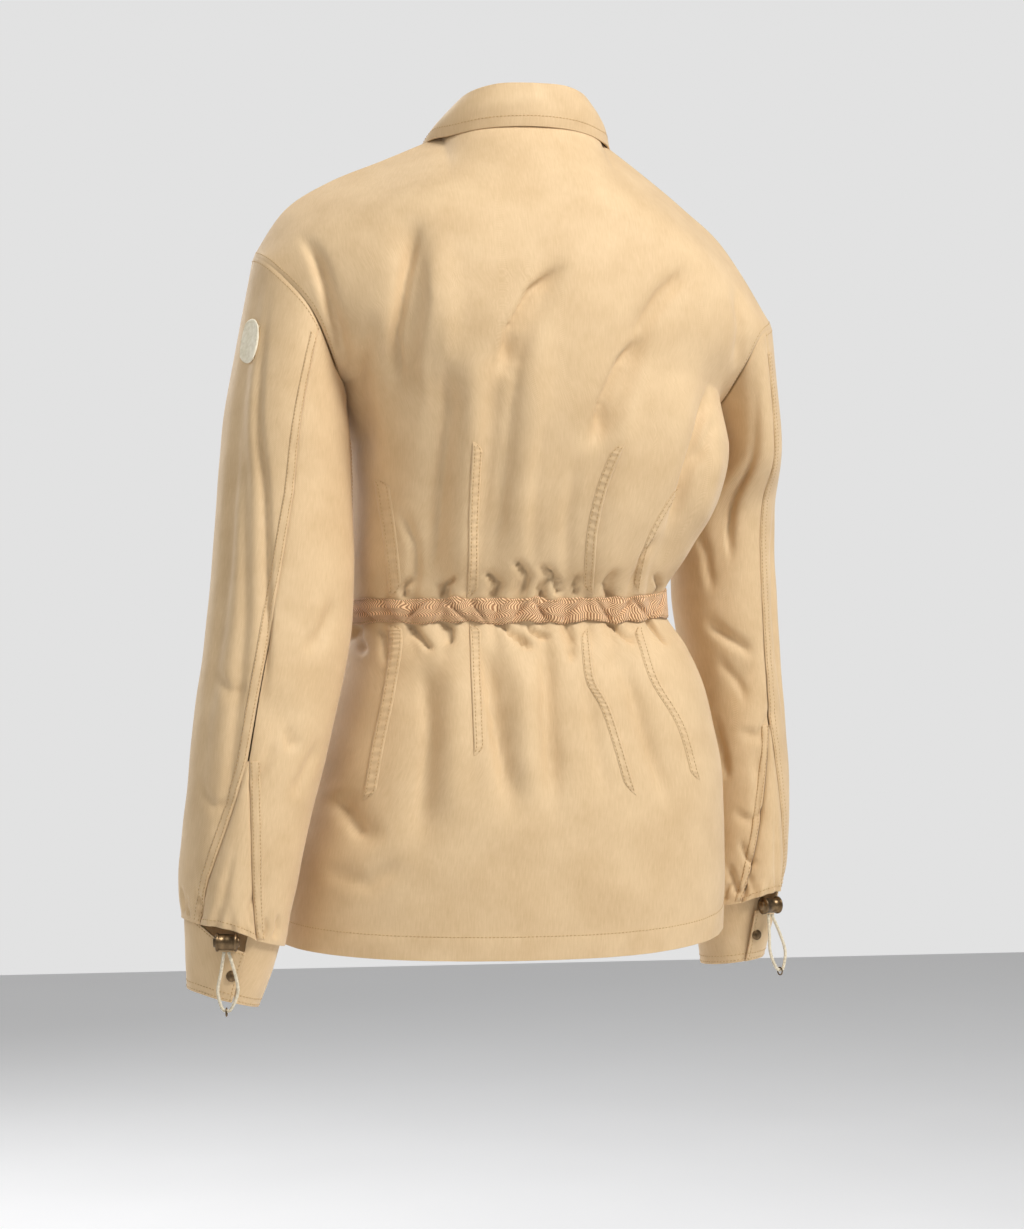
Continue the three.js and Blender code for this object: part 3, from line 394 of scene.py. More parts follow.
# Creases of the back: path in X and Z, width, depth, lean
BACK_CREASES = (
    (((104, -78), (116, -130), (123, -175), (117, -226)), 7, -3.4, -0.5),
    (((100, -100), (98, -150), (104, -200), (100, -240)), 7, 1.5, 0),
    (((146, -150), (150, -200), (140, -262), (132, -300)), 9, -2.2, 0.3),
    (((92, -182), (84, -235), (90, -300), (93, -388)), 7, -2.2, 0.4),
    (((-12, -114), (18, -138), (38, -172), (44, -215)), 6, -3.6, 0.5),
    (((22, -160), (34, -205), (40, -290), (47, -380)), 6, -2, 0.4),
    (((8, -240), (14, -300), (12, -380)), 8, -1.6, 0),
    (((-82, -168), (-56, -196), (-40, -228), (-34, -268)), 6, -3.6, 0.5),
    (((-122, -114), (-92, -140), (-66, -178)), 9, -2, 0.3),
    (((-20, -270), (-14, -320), (-18, -382)), 7, -1.6, 0),
    (((-148, -203), (-132, -240), (-116, -290), (-104, -340)), 7, -3.6, 0.5),
    (((-150, -236), (-136, -262), (-124, -282)), 7, -2, 0.3),
    (((-97, -335), (-84, -356), (-74, -386)), 6, -2.2, 0.3),
    (((119, -314), (107, -346), (104, -386)), 6, -2.2, 0.4),
    (((197, -84), (187, -112), (178, -150), (166, -182), (152, -204)), 8, -4, 0.3),
    (((-170, -120), (-176, -160), (-174, -200)), 10, -2.4, 0),
    (((129, -409), (126, -424), (128, -446)), 4, -2.4, 0),
    (((102, -440), (100, -500), (112, -586)), 8, -2, 0.35),
    (((50, -424), (46, -480), (36, -556)), 7, -2.6, -0.4),
    (((0, -424), (6, -490), (0, -556)), 7, -2, 0.3),
    (((-62, -436), (-78, -500), (-98, -566)), 8, -1.8, 0.3),
    (((-30, -440), (-34, -500), (-46, -560)), 9, -1.4, 0),
    (((168, -550), (149, -588)), 9, -2.6, 0),
    (((120, -600), (150, -622), (186, -610)), 12, -1.6, 0),
    (((52, -366), (40, -380), (46, -393)), 3.6, -3.6, 0.4),
    (((30, -356), (16, -374), (22, -392)), 4, -4, 0.4),
    (((6, -360), (-10, -376), (-14, -392)), 3.8, -3.8, -0.4),
    (((-4, -372), (4, -382), (0, -393)), 3.2, -3, 0),
    (((74, -370), (84, -380), (82, -393)), 3.8, -3.8, 0.3),
    (((106, -372), (114, -382), (110, -393)), 3.6, -3.4, 0),
    (((-30, -368), (-24, -380), (-28, -393)), 3.6, -3.4, 0.3),
    (((-60, -364), (-52, -378), (-58, -393)), 4, -3.8, 0.4),
    (((-98, -368), (-106, -380), (-100, -393)), 3.8, -3.6, 0.3),
    (((110, -407), (104, -420), (92, -436)), 3.6, -3.4, 0.3),
    (((84, -407), (78, -416), (80, -430)), 3.4, -3.2, 0),
    (((40, -407), (30, -418), (10, -434)), 4, -4, 0.4),
    (((16, -407), (12, -416), (-4, -424)), 3.4, -3.2, 0),
    (((-16, -407), (-20, -424), (-18, -446)), 3.8, -3.2, 0.3),
    (((-52, -405), (-62, -415), (-78, -428)), 3.8, -3.6, 0.3),
    (((-92, -403), (-100, -416), (-112, -430)), 3.8, -3.2, 0),
    (((144, -406), (145, -422), (141, -438)), 4, -3.6, 0),
)
FRONT_CREASES = (
    (((96, -200), (78, -260), (84, -330), (76, -388)), 9, -3, 0.2),
    (((44, -250), (40, -320), (48, -386)), 8, -2.5, 0),
    (((-60, -210), (-54, -290), (-62, -386)), 9, -3, 0.2),
    (((-110, -300), (-98, -350), (-104, -386)), 7, -2.5, 0),
    (((118, -300), (110, -350), (114, -386)), 7, -2.5, 0),
    (((88, -410), (96, -470), (104, -540)), 9, -3, 0),
    (((52, -410), (58, -480), (56, -560)), 9, -2.5, 0),
    (((-60, -410), (-70, -480), (-66, -560)), 9, -3, 0),
    (((-96, -410), (-108, -460), (-118, -520)), 8, -2.5, 0),
    (((150, -130), (136, -170), (128, -210)), 10, -3, 0),
    (((-150, -160), (-140, -200), (-130, -240)), 10, -3, 0),
)
# Creases of the sleeves: path in degrees and in millimetres down the sleeve
ROW_LENGTH = 70
FRONT_SLEEVE_CREASES = (
    (((200, -250), (250, -280), (290, -250)), 12, -3.5, 0),
    (((210, -330), (250, -350), (300, -330)), 11, -3, 0),
    (((300, -60), (330, -110), (340, -180)), 12, -3, 0),
    (((190, -430), (194, -460), (190, -482)), 6, -2.5, 0),
    (((240, -420), (236, -450), (240, -482)), 6, -2.5, 0),
    (((290, -430), (294, -460), (290, -482)), 6, -2.5, 0),
)
SLEEVE_CREASES = {
    "left": (
        (((50, -4), (47, -25), (68, -140), (80, -250), (84, -300)), 7, -4, 0.3),
        (((30, -30), (44, -120), (56, -220), (62, -330), (52, -420)), 9, -2.5, 0),
        (((106, -290), (112, -304), (124, -300)), 6, -2.5, 0),
        (((96, -296), (90, -318), (78, -340)), 6, -2, 0),
        (((140, -200), (124, -230), (106, -238)), 10, -2.5, 0),
        (((146, -300), (128, -330), (114, -336)), 10, -2.5, 0),
        (((100, -420), (96, -446), (100, -476)), 5, -2.5, 0),
        (((40, -430), (46, -452), (44, -476)), 5, -2, 0),
        (((10, -430), (14, -452), (10, -480)), 6, -2, 0),
        (((132, -440), (136, -460), (130, -480)), 6, -2.5, 0),
        (((116, -446), (120, -462), (116, -482)), 4, -2.2, 0),
        (((88, -456), (84, -468), (88, -483)), 4, -2, 0),
        (((70, -452), (66, -466), (70, -483)), 4, -2, 0),
        (((24, -440), (20, -458), (26, -482)), 5, -2, 0),
        (((30, -250), (52, -268), (70, -262)), 7, -1.8, 0.3),
        (((26, -330), (50, -350), (72, -340)), 7, -1.6, 0.3),
        *FRONT_SLEEVE_CREASES,
    ),
    "right": (
        (((112, -60), (107, -110), (103, -158), (99, -192)), 7, -5, 0.3),
        (((135, -231), (107, -247), (76, -261)), 9, -4, 0),
        (((139, -305), (130, -330), (123, -358)), 8, -3.5, 0),
        (((128, -262), (104, -282), (92, -300)), 8, -2, 0),
        (((90, -330), (86, -360), (92, -396)), 9, -2, 0),
        (((125, -422), (116, -446), (105, -474)), 7, -3, 0),
        (((96, -440), (92, -460), (88, -480)), 5, -2.5, 0),
        (((140, -430), (138, -456), (134, -480)), 6, -2.5, 0),
        (((60, -300), (84, -322), (112, -318)), 6, -2.2, 0.3),
        (((70, -376), (96, -388), (120, -378)), 6, -2.2, 0.3),
        (((112, -400), (100, -424), (84, -436)), 5, -2.4, 0.3),
        (((118, -446), (126, -462), (124, -482)), 5, -2.4, 0),
        (((100, -452), (98, -468), (100, -482)), 4, -2.2, 0),
        (((84, -450), (78, -466), (80, -482)), 4, -2.2, 0),
        (((60, -440), (64, -460), (60, -482)), 5, -2, 0),
        (((144, -150), (128, -176), (120, -214)), 8, -2.6, 0.3),
        (((30, -120), (40, -230), (34, -330)), 10, -2.5, 0),
        *FRONT_SLEEVE_CREASES,
    ),
}


# Curves and blends

def mix(a, b, share):
    return a + (b - a) * share


def smooth(share):
    t = np.clip(share, 0, 1)
    return t * t * (3 - 2 * t)


def bell(far):
    """A soft hill: 1 at the middle, nearly 0 where far reaches 1.5."""
    return np.exp(-2.5 * far ** 2)


def swell(far):
    """A wider soft hill."""
    return np.exp(-(far ** 2))


def unit(v):
    return v / np.maximum(np.linalg.norm(v, axis=-1, keepdims=True), 1e-9)


def faded(place, length, reach):
    """1 along a length, falling softly to 0 within a reach of both ends."""
    return smooth(place / reach) * smooth((length - place) / reach)


def xyz(x, y, z):
    return np.stack(np.broadcast_arrays(x, y, z), -1)


def both(first, second):
    """Two arrays of numbers, spread to one shape."""
    return np.broadcast_arrays(np.asarray(first, float), np.asarray(second, float))


def lift_by(points, way, height):
    """Points moved along directions by heights in millimetres."""
    return points + way * np.asarray(height)[..., None]


def through(a, b, c, d, t):
    """A value of a Catmull-Rom curve through four neighbours."""
    t2 = t * t
    t3 = t2 * t
    start = (2 * t3 - 3 * t2 + 1) * b + (t3 - 2 * t2 + t) * (c - a) / 2
    return start + (3 * t2 - 2 * t3) * c + (t3 - t2) * (d - b) / 2


def along(points, place):
    """Points of a smooth open curve, whose parameter counts its points."""
    place = np.asarray(place, float)
    last = len(points) - 1
    i = np.clip(np.floor(place).astype(int), 0, last - 1)
    a, b, c, d = (points[np.clip(i + k, 0, last)] for k in (-1, 0, 1, 2))
    return through(a, b, c, d, (place - i)[..., None])


def around(points, degrees):
    """Points of a smooth closed loop, whose parameter is in degrees."""
    n = len(points)
    place = np.mod(np.asarray(degrees, float) / 360 * n, n)
    i = np.floor(place).astype(int)
    a, b, c, d = (points[(i + k) % n] for k in (-1, 0, 1, 2))
    return through(a, b, c, d, (place - i)[..., None])


def by_side(u, values):
    """Values of the left side where u is at least 0, and of the right side elsewhere."""
    return np.where((u >= 0)[..., None], values("left"), values("right"))


# The body's outer surface

def armhole_angle(panel, row):
    share = (row - UNDERARM_ROW) / (TOP_ROW - UNDERARM_ROW)
    return 180 * (1 - share) if panel == "back" else 180 + 180 * share


def top_edge(panel, u):
    """The neckline, then the shoulder seam."""
    far = np.abs(u)
    place = np.maximum(far - NECK_SHARE, 0) / (1 - NECK_SHARE) * 4
    seam = by_side(u, lambda side: along(SHOULDER[side], place))
    angle = np.minimum(far / NECK_SHARE, 1) * math.pi / 2
    depth = NECK["back"] if panel == "back" else -NECK["front"]
    drop = NECK["back_drop"] if panel == "back" else NECK["front_drop"]
    neck = xyz(
        np.sign(u) * NECK["half_width"] * np.sin(angle),
        NECK["y"] + depth * np.cos(angle),
        NECK["z"] - drop * np.cos(angle),
    )
    return np.where((far > NECK_SHARE)[..., None], seam, neck)


def row_edge(panel, index, u):
    """The side edge of a table row: the side seam, or the armhole above it."""
    low = np.minimum(index, UNDERARM_ROW - 1)
    seam = by_side(u, lambda side: EDGES[side][low])
    hole = by_side(u, lambda side: around(ARMHOLE[side], armhole_angle(panel, index)))
    return np.where((index < UNDERARM_ROW)[..., None], seam, hole)


def row_point(panel, index, u):
    """Points of the table's rows, at a share u from the right (-1) to the left (1)."""
    index = np.clip(index, 0, TOP_ROW)
    middle = MIDDLES[np.minimum(index, TOP_ROW - 1)]
    low = np.minimum(index, UNDERARM_ROW - 1)
    edge = row_edge(panel, index, u)
    middle_x = np.where(index < UNDERARM_ROW, (EDGES["left"][low, 0] + EDGES["right"][low, 0]) / 2, 0)
    middle_z = middle[..., 0] if panel == "back" else middle[..., 1]
    middle_y = middle[..., 2] if panel == "back" else middle[..., 3]
    turn = middle[..., 4]
    far = np.abs(u)
    turned = np.sin(far * math.pi / 2)
    roundness = np.maximum(0, 1 - turned ** SQUARE) ** (1 / SQUARE)
    fullness = mix(1 - far ** SLOPE, roundness, turn)
    body = xyz(
        mix(middle_x, edge[..., 0], mix(far, turned, turn)),
        mix(edge[..., 1], middle_y, fullness),
        mix(middle_z, edge[..., 2], far ** SLOPE),
    )
    return np.where((index >= TOP_ROW)[..., None], top_edge(panel, u), body)


def between_rows(panel, u, row):
    base = np.minimum(TOP_ROW - 1, np.floor(row).astype(int))
    rows = [row_point(panel, base + k, u) for k in (-1, 0, 1, 2)]
    return through(*rows, (row - base)[..., None])


def pull_to_edge(panel, u, row, points):
    """Brings the side edge onto the armhole, and onto the shared line just below the underarm."""
    edge = side_sign(u)
    drawn = between_rows(panel, edge, row)
    low = row_point(panel, np.full(u.shape, UNDERARM_ROW - 1), edge)
    high = row_point(panel, np.full(u.shape, UNDERARM_ROW), edge)
    straight = mix(low, high, (row % 1)[..., None])
    hole = by_side(u, lambda side: around(ARMHOLE[side], armhole_angle(panel, row)))
    wanted = np.where((row < UNDERARM_ROW)[..., None], straight, hole)
    pull = (wanted - drawn) * (np.abs(u) ** 4)[..., None]
    return points + np.where((row > UNDERARM_ROW - 1)[..., None], pull, 0)


def body_out(p):
    """The way out of the body's wall."""
    core, top = BODY_CORE["half_width"], BODY_CORE["top"]
    x, y, z = p[..., 0], p[..., 1], p[..., 2]
    return unit(xyz(x - np.clip(x, -core, core), y, z - np.minimum(z, top)))


def straight_fold(fold, x, z):
    (x0, z0), (x1, z1), width, depth = fold
    dx, dz = x1 - x0, z1 - z0
    length = math.hypot(dx, dz)
    share = ((x - x0) * dx + (z - z0) * dz) / length ** 2
    off = ((x - x0) * dz - (z - z0) * dx) / length
    return depth * faded(share + 0.15, 1.3, 0.35) * bell(off / width)


def gather(entry, x, height):
    place, up, down, depth = entry
    reach = np.where(height > 0, up, down)
    fade = smooth(1 - np.abs(height) / reach)
    return depth * fade * bell((x - place) / GATHER_WIDTH)


def height_from_tape(row, z):
    edge = np.where(row > TAPE_ROWS[1], MIDDLES[6, 0], MIDDLES[5, 0])
    return np.where((row >= TAPE_ROWS[0]) & (row <= TAPE_ROWS[1]), 0, z - edge)


def base_body(panel, u, row):
    """The body's outer surface as the frame has it, and how far folds may move it."""
    u, row = both(u, row)
    p = pull_to_edge(panel, u, row, between_rows(panel, u, row))
    folds = BACK_FOLDS if panel == "back" else FRONT_FOLDS
    gathers = BACK_GATHERS if panel == "back" else FRONT_GATHERS
    height = height_from_tape(row, p[..., 2])
    depth = sum(straight_fold(fold, p[..., 0], p[..., 2]) for fold in folds)
    depth = depth + sum(gather(entry, p[..., 0], height) for entry in gathers)
    fade = smooth((1 - np.abs(u)) / 0.15) * smooth(row / 0.6) * smooth((TOP_ROW - row) / 0.8)
    return lift_by(p, body_out(p), depth * fade)


# The sleeves' outer surface

def sleeve_out(side, degrees):
    angle = np.radians(degrees)
    return xyz(LATERAL[side] * np.cos(angle), np.sin(angle), 0.0)


def ring_point(side, ring, degrees):
    angle = np.radians(degrees)
    x, y, z, across, deep, tilt = (ring[..., k] for k in range(6))
    return xyz(
        x + LATERAL[side] * across * np.cos(angle),
        y + deep * np.sin(angle),
        z + tilt * np.cos(angle),
    )


def sleeve_ring(side, index, degrees):
    rings = SLEEVE[side]
    ring = rings[np.clip(index, 1, len(rings)) - 1]
    hole = around(ARMHOLE[side], degrees)
    return np.where((index <= 0)[..., None], hole, ring_point(side, ring, degrees))


def sleeve_fold(fold, degrees, row):
    angle, middle, reach, rows, slant, depth = fold
    turn = np.mod(degrees - angle + 180, 360) - 180
    slanted = row - middle - turn / 90 * slant
    return depth * bell(slanted / rows) * bell(turn / reach)


def base_sleeve(side, degrees, row):
    degrees, row = both(degrees, row)
    base = np.minimum(SLEEVE_END - 1, np.floor(row).astype(int))
    rings = [sleeve_ring(side, base + k, degrees) for k in (-1, 0, 1, 2)]
    p = through(*rings, (row - base)[..., None])
    depth = sum(sleeve_fold(fold, degrees, row) for fold in SLEEVE_FOLDS[side])
    return lift_by(p, sleeve_out(side, degrees), depth * smooth(row / 0.7))


# Gussets, fronts, cuffs and collar in their own terms

def seam_angle(side, row, which):
    table = BACK_SEAM[side]
    return np.interp(row, table[:, 0], table[:, 1 if which == "near" else 2])


def gusset_point(side, share, row):
    """The gusset fills the back seam's opening. Its free hem stands off and arches up."""
    share, row = both(share, row)
    down = (row - GUSSET["top"]) / (SLEEVE_END - GUSSET["top"])
    arch = np.sin(share * math.pi) * down
    degrees = mix(seam_angle(side, row, "near"), seam_angle(side, row, "far"), share)
    p = base_sleeve(side, degrees, row - arch * down * GUSSET["rise"])
    return lift_by(p, sleeve_out(side, degrees), arch * GUSSET["lift"])


def lap_share(row):
    """The share across at which a front reaches its free edge, past the centre line."""
    index = np.minimum(TOP_ROW - 1, np.rint(row).astype(int))
    quarter = row_point("front", index, np.full(index.shape, 0.25))[..., 0]
    centre = row_point("front", index, np.zeros(index.shape))[..., 0]
    return FRONT_LAP / np.abs(quarter - centre) * 0.25


def front_point(sign, u, row):
    """The right front lies over the left one."""
    p = base_body("front", u, row)
    if sign > 0:
        return p
    start, end = LAP_COLUMNS[-2:]
    nearness = (end - u * sign / lap_share(row)) / (end - start)
    return lift_by(p, body_out(p), LAP_LIFT * smooth(nearness))


def cuff_point(side, degrees, down):
    """A cuff is a band whose last stretch laps over its first."""
    degrees, down = both(degrees, down)
    cuff = CUFF[side]
    x, y, z, across, deep, tilt = SLEEVE[side][-1]
    upper = np.array([x, y, z + CUFF_RISE, across - CUFF_INSET, deep - CUFF_INSET, tilt])
    top = ring_point(side, upper, degrees)
    slant = smooth((degrees - cuff["end"] + CUFF_LAP_DEGREES) / CUFF_LAP_DEGREES)
    top = lift_by(top, UP, -cuff["slant"] * slant)
    bottom = ring_point(side, np.array(cuff["bottom"], float), degrees)
    lap = smooth((degrees - cuff["start"] - 300) / 40) * LAP_LIFT
    return lift_by(mix(top, bottom, down[..., None]), sleeve_out(side, degrees), lap)


def side_sign(share):
    """1 on the jacket's left and -1 on its right."""
    return np.where(share < 0, -1.0, 1.0)


def mirrored(points, share):
    """Points of the left half, turned over for shares below zero."""
    return points * xyz(side_sign(share), 1.0, 1.0)


def collar_fold(share):
    return mirrored(along(COLLAR_FOLD, np.abs(share) * (len(COLLAR_FOLD) - 1)), share)


def collar_edge(share):
    place = along(COLLAR_EDGE, np.abs(share) * (len(COLLAR_EDGE) - 1))
    u = place[..., 0] * side_sign(share)
    row = TOP_ROW - np.abs(place[..., 1])
    behind = base_body("back", u, row)
    before = base_body("front", u, row)
    p = np.where((place[..., 1] >= 0)[..., None], behind, before)
    return p + body_out(p) * COLLAR_LIFT


def collar_out(p, down):
    level = unit(xyz(p[..., 0], p[..., 1] - NECK["y"], 0.0))
    rise = np.broadcast_to(mix(*COLLAR_RISE, np.asarray(down, float)), p[..., 0].shape)
    return unit(lift_by(level, UP, rise))


def neck_point(share):
    far = np.abs(share)
    sign = side_sign(share)
    behind = top_edge("back", sign * far * 2 * NECK_SHARE)
    before = top_edge("front", sign * (1 - far) * 2 * NECK_SHARE)
    return np.where((far <= 0.5)[..., None], behind, before)


# Fine creases

def crease(x, z, path, width, depth, lean=0.0):
    """A soft crease along a line of points, faded at both ends. Lean makes one flank steeper."""
    path = np.array(path, float)
    lengths = np.hypot(*np.diff(path, axis=0).T)
    total = lengths.sum()
    best = np.full(x.shape, 1e9)
    place = np.zeros(x.shape)
    side = np.zeros(x.shape)
    start = 0.0
    for (x0, z0), (x1, z1), length in zip(path[:-1], path[1:], lengths):
        dx, dz = (x1 - x0) / length, (z1 - z0) / length
        run = np.clip((x - x0) * dx + (z - z0) * dz, 0, length)
        away = np.hypot(x - x0 - run * dx, z - z0 - run * dz)
        closer = away < best
        best = np.where(closer, away, best)
        place = np.where(closer, start + run, place)
        side = np.where(closer, np.sign((x - x0) * dz - (z - z0) * dx), side)
        start += length
    wide = width * (1 + lean * side)
    return depth * faded(place, total, 0.3 * total) * bell(best / wide)


# Meshes

def grid_normals(grid, outward):
    """Directions square to a grid of points, and the side of it that the outward hints name."""
    normals = unit(np.cross(np.gradient(grid, axis=1), np.gradient(grid, axis=0)))
    sign = 1.0 if (normals * outward).sum() >= 0 else -1.0
    return normals * sign, sign


def arc_lengths(grid, axis):
    """Distances along the rows (1) or columns (0) of a grid from its first line."""
    steps = np.linalg.norm(np.diff(grid, axis=axis), axis=-1)
    start = np.zeros_like(np.take(grid[..., 0], [0], axis=axis))
    return np.concatenate([start, np.cumsum(steps, axis=axis)], axis=axis)


def border_distance(grid, borders):
    """Distance from the nearest of the named borders: left and right of the rows, first and last row."""
    across, down = arc_lengths(grid, 1), arc_lengths(grid, 0)
    distances = {"left": across, "right": across[:, -1:] - across, "first": down, "last": down[-1:] - down}
    return np.min([distances[name] for name in borders], axis=0)


def new_object(name, points, faces, uvs=None, flat=None):
    mesh = bpy.data.meshes.new(name)
    mesh.from_pydata(points.tolist(), [], faces)
    mesh.update()
    mesh.polygons.foreach_set("use_smooth", np.ones(len(faces), bool) if flat is None else ~flat)
    if uvs is not None:
        corners = np.empty(len(mesh.loops), int)
        mesh.loops.foreach_get("vertex_index", corners)
        layer = mesh.uv_layers.new(name="cloth")
        layer.data.foreach_set("uv", uvs[corners].ravel())
    obj = bpy.data.objects.new(name, mesh)
    bpy.context.scene.collection.objects.link(obj)
    return obj


def grid_faces(rows, columns, start=0):
    index = np.arange(rows * columns).reshape(rows, columns) + start
    quads = np.stack([index[:-1, :-1], index[:-1, 1:], index[1:, 1:], index[1:, :-1]], -1)
    return quads.reshape(-1, 4)


def rim_faces(rows, columns):
    """Faces that join the outer layer's border to the inner layer's."""
    index = np.arange(rows * columns).reshape(rows, columns)
    loop = np.concatenate([index[0, :-1], index[:-1, -1], index[-1, :0:-1], index[:0:-1, 0]])
    following = np.roll(loop, -1)
    shift = rows * columns
    return np.stack([following, loop, loop + shift, following + shift], -1)


def shell(name, grid, outward, thickness=CLOTH):
    """A thin cloth shell whose outer face is the grid of points, with the UVs in metres."""
    rows, columns = grid.shape[:2]
    normals, sign = grid_normals(grid, outward)
    depth = np.broadcast_to(np.asarray(thickness, float), (rows, columns))[..., None]
    inner = grid - normals * depth
    points = np.concatenate([grid.reshape(-1, 3), inner.reshape(-1, 3)]) * MM
    outside = grid_faces(rows, columns)
    inside = grid_faces(rows, columns, rows * columns)[:, ::-1]
    faces = np.concatenate([outside, inside, rim_faces(rows, columns)])
    if sign < 0:
        faces = faces[:, ::-1]
    across = arc_lengths(grid, 1)
    across = across - across[:, columns // 2][:, None]
    uv = np.stack([across, arc_lengths(grid, 0)], -1).reshape(-1, 2) * MM
    flat = np.arange(len(faces)) >= len(outside) * 2
    obj = new_object(name, points, faces.tolist(), np.concatenate([uv, uv]), flat)
    obj["area"] = float(sheet_area(grid))
    obj["wide"] = float(across.max() - across.min()) * MM
    obj["long"] = float(arc_lengths(grid, 0).max()) * MM
    return obj


def sheet_area(grid):
    """Area of a grid of points in square metres."""
    a, b = grid[1:, 1:] - grid[:-1, :-1], grid[1:, :-1] - grid[:-1, 1:]
    return np.linalg.norm(np.cross(a, b), axis=-1).sum() / 2 * MM * MM


def seated(surface, points):
    """The nearest places on a surface and the directions out of it, in millimetres."""
    flat = points.reshape(-1, 3)
    places = np.empty_like(flat)
    normals = np.empty_like(flat)
    for k, p in enumerate(flat):
        place, normal = surface["tree"].find_nearest(Vector(p * MM))[:2]
        places[k] = place
        normals[k] = normal
    normals *= surface["sign"]
    return places.reshape(points.shape) / MM, normals.reshape(points.shape)


def surface_of(grid, outward):
    """A panel's grid and its search tree, for the pieces that are sewn on it."""
    points = (grid.reshape(-1, 3) * MM).tolist()
    tree = BVHTree.FromPolygons(points, grid_faces(*grid.shape[:2]).tolist())
    return {"tree": tree, "sign": grid_normals(grid, outward)[1], "grid": grid}


def line_at(line, run, at):
    """Points of a line whose own points have the given runs along it."""
    return np.stack([np.interp(at, run, line[:, k]) for k in range(3)], -1)


def resample(line, pitch):
    """Points a pitch apart along a line of points, with the directions along it."""
    run = arc_lengths(line[None], 1)[0]
    count = max(2, int(run[-1] / pitch))
    at = (np.arange(count) + 0.5) * run[-1] / count
    ahead, behind = line_at(line, run, at + pitch / 4), line_at(line, run, at - pitch / 4)
    return line_at(line, run, at), unit(ahead - behind)


def level_with(tangents, normals):
    """Directions along a line, laid flat in the surface under it."""
    return unit(tangents - normals * (tangents * normals).sum(-1, keepdims=True))


def bead_shape(length, width, height):
    """One stitch: a long bead, pointed at both ends."""
    ends = [(-length / 2, 0, 0), (length / 2, 0, 0)]
    rings = [
        (x, side * width / 2, up * height / 2)
        for x in (-length * 0.28, length * 0.28)
        for side, up in ((1, 0), (0, 1), (-1, 0), (0, -1))
    ]
    faces = []
    for k in range(4):
        following = (k + 1) % 4
        faces.append((0, 2 + following, 2 + k))
        faces.append((1, 6 + k, 6 + following))
        faces.append((2 + k, 2 + following, 6 + following, 6 + k))
    return np.array(ends + rings), faces


def stitch_object(name, rows_of_stitches):
    """All stitches of one piece. Each row is (places, directions along it, directions out)."""
    template, faces = bead_shape(STITCH["length"], STITCH["width"], STITCH["height"])
    places, tangents, normals = (np.concatenate([row[k] for row in rows_of_stitches]) for k in range(3))
    ways = np.stack([tangents, unit(np.cross(normals, tangents)), normals], 1)
    points = (places + normals * STITCH["sunk"])[:, None] + template @ ways
    every = [tuple(v + k * len(template) for v in face) for k in range(len(places)) for face in faces]
    return new_object(name, points.reshape(-1, 3) * MM, every)


def sewn(surface, line):
    """Stitches in a row along a line that lies near a surface."""
    places, tangents = resample(line, STITCH["pitch"])
    places, normals = seated(surface, places)
    return places, level_with(tangents, normals), normals


# Sampling lines

def fine_line(size, spacing):
    """Shares from 0 to 1 along a line of a size, closer together near both ends."""
    even = np.linspace(0, 1, max(2, int(size / spacing)) + 1)
    ends = FINE_STEPS / size
    return np.unique(np.concatenate([even, ends, 1 - ends]).round(6))


def body_rows(spacing):
    """Rows of a body panel, closer together at the waist, the hem and the neckline."""
    heights = np.append(MIDDLES[:, 0], NECK["z"])
    rows = [TOP_ROW]
    for k, (low, high) in enumerate(zip(heights[:-1], heights[1:])):
        step = GRID["waist"] if abs(k - TAPE_ROWS[0]) <= 1 else spacing
        count = math.ceil((high - low) / step)
        rows.extend(k + np.arange(count) / count)
    rows.extend(FINE_STEPS / (heights[1] - heights[0]))
    rows.extend(TOP_ROW - FINE_STEPS / (heights[-1] - heights[-2]))
    return np.unique(np.round(rows, 6))[:, None]


def crowded_at_sides(shares):
    """Shares from -1 to 1, with their steps made smaller towards both ends."""
    return (shares + np.sin(shares * math.pi / 2)) / 2


def wander(a, b, scale):
    """A calm uneven field, the same on every run, between about -1 and 1."""
    a, b = a / scale, b / scale
    first = np.sin(a + 0.7 * b + 0.4) * np.sin(0.63 * a - 1.1 * b + 1.7)
    second = np.sin(1.9 * a - 0.8 * b + 2.9) * np.sin(0.4 * a + 2.1 * b)
    return 0.65 * first + 0.45 * second


def uneven(place, a, b):
    height, scale = UNEVEN[place]
    return height * wander(a, b, scale)


def sink_seams(grid, normals, borders):
    return lift_by(grid, normals, -SEAM["sink"] * swell(border_distance(grid, borders) / SEAM["width"]))


def hem_relief(height, run):
    """The turned hem: two layers thick, with a groove at its stitches and a slight roping."""
    band = HEM["extra"] * smooth((HEM["height"] + 1.5 - height) / 2)
    groove = HEM["groove"] * swell((height - HEM["height"]) / HEM["groove_width"])
    roping = uneven("hem", run + 0.9 * height, 0.3 * run) * smooth((HEM["height"] + 10 - height) / 12)
    return band + groove + roping


def creases_depth(creases, x, z, strength):
    return strength * sum(crease(x, z, *entry) for entry in creases)


# Panels

def side_fullness(u, row):
    """The body's left side swells towards the sleeve, alike on the back and the front."""
    level = np.abs(row - SIDE_FULLNESS["row"]) / SIDE_FULLNESS["rows"]
    nearness = smooth((u - SIDE_FULLNESS["from"]) / (1 - SIDE_FULLNESS["from"]))
    return SIDE_FULLNESS["body"] * nearness * smooth(1.3 - level)


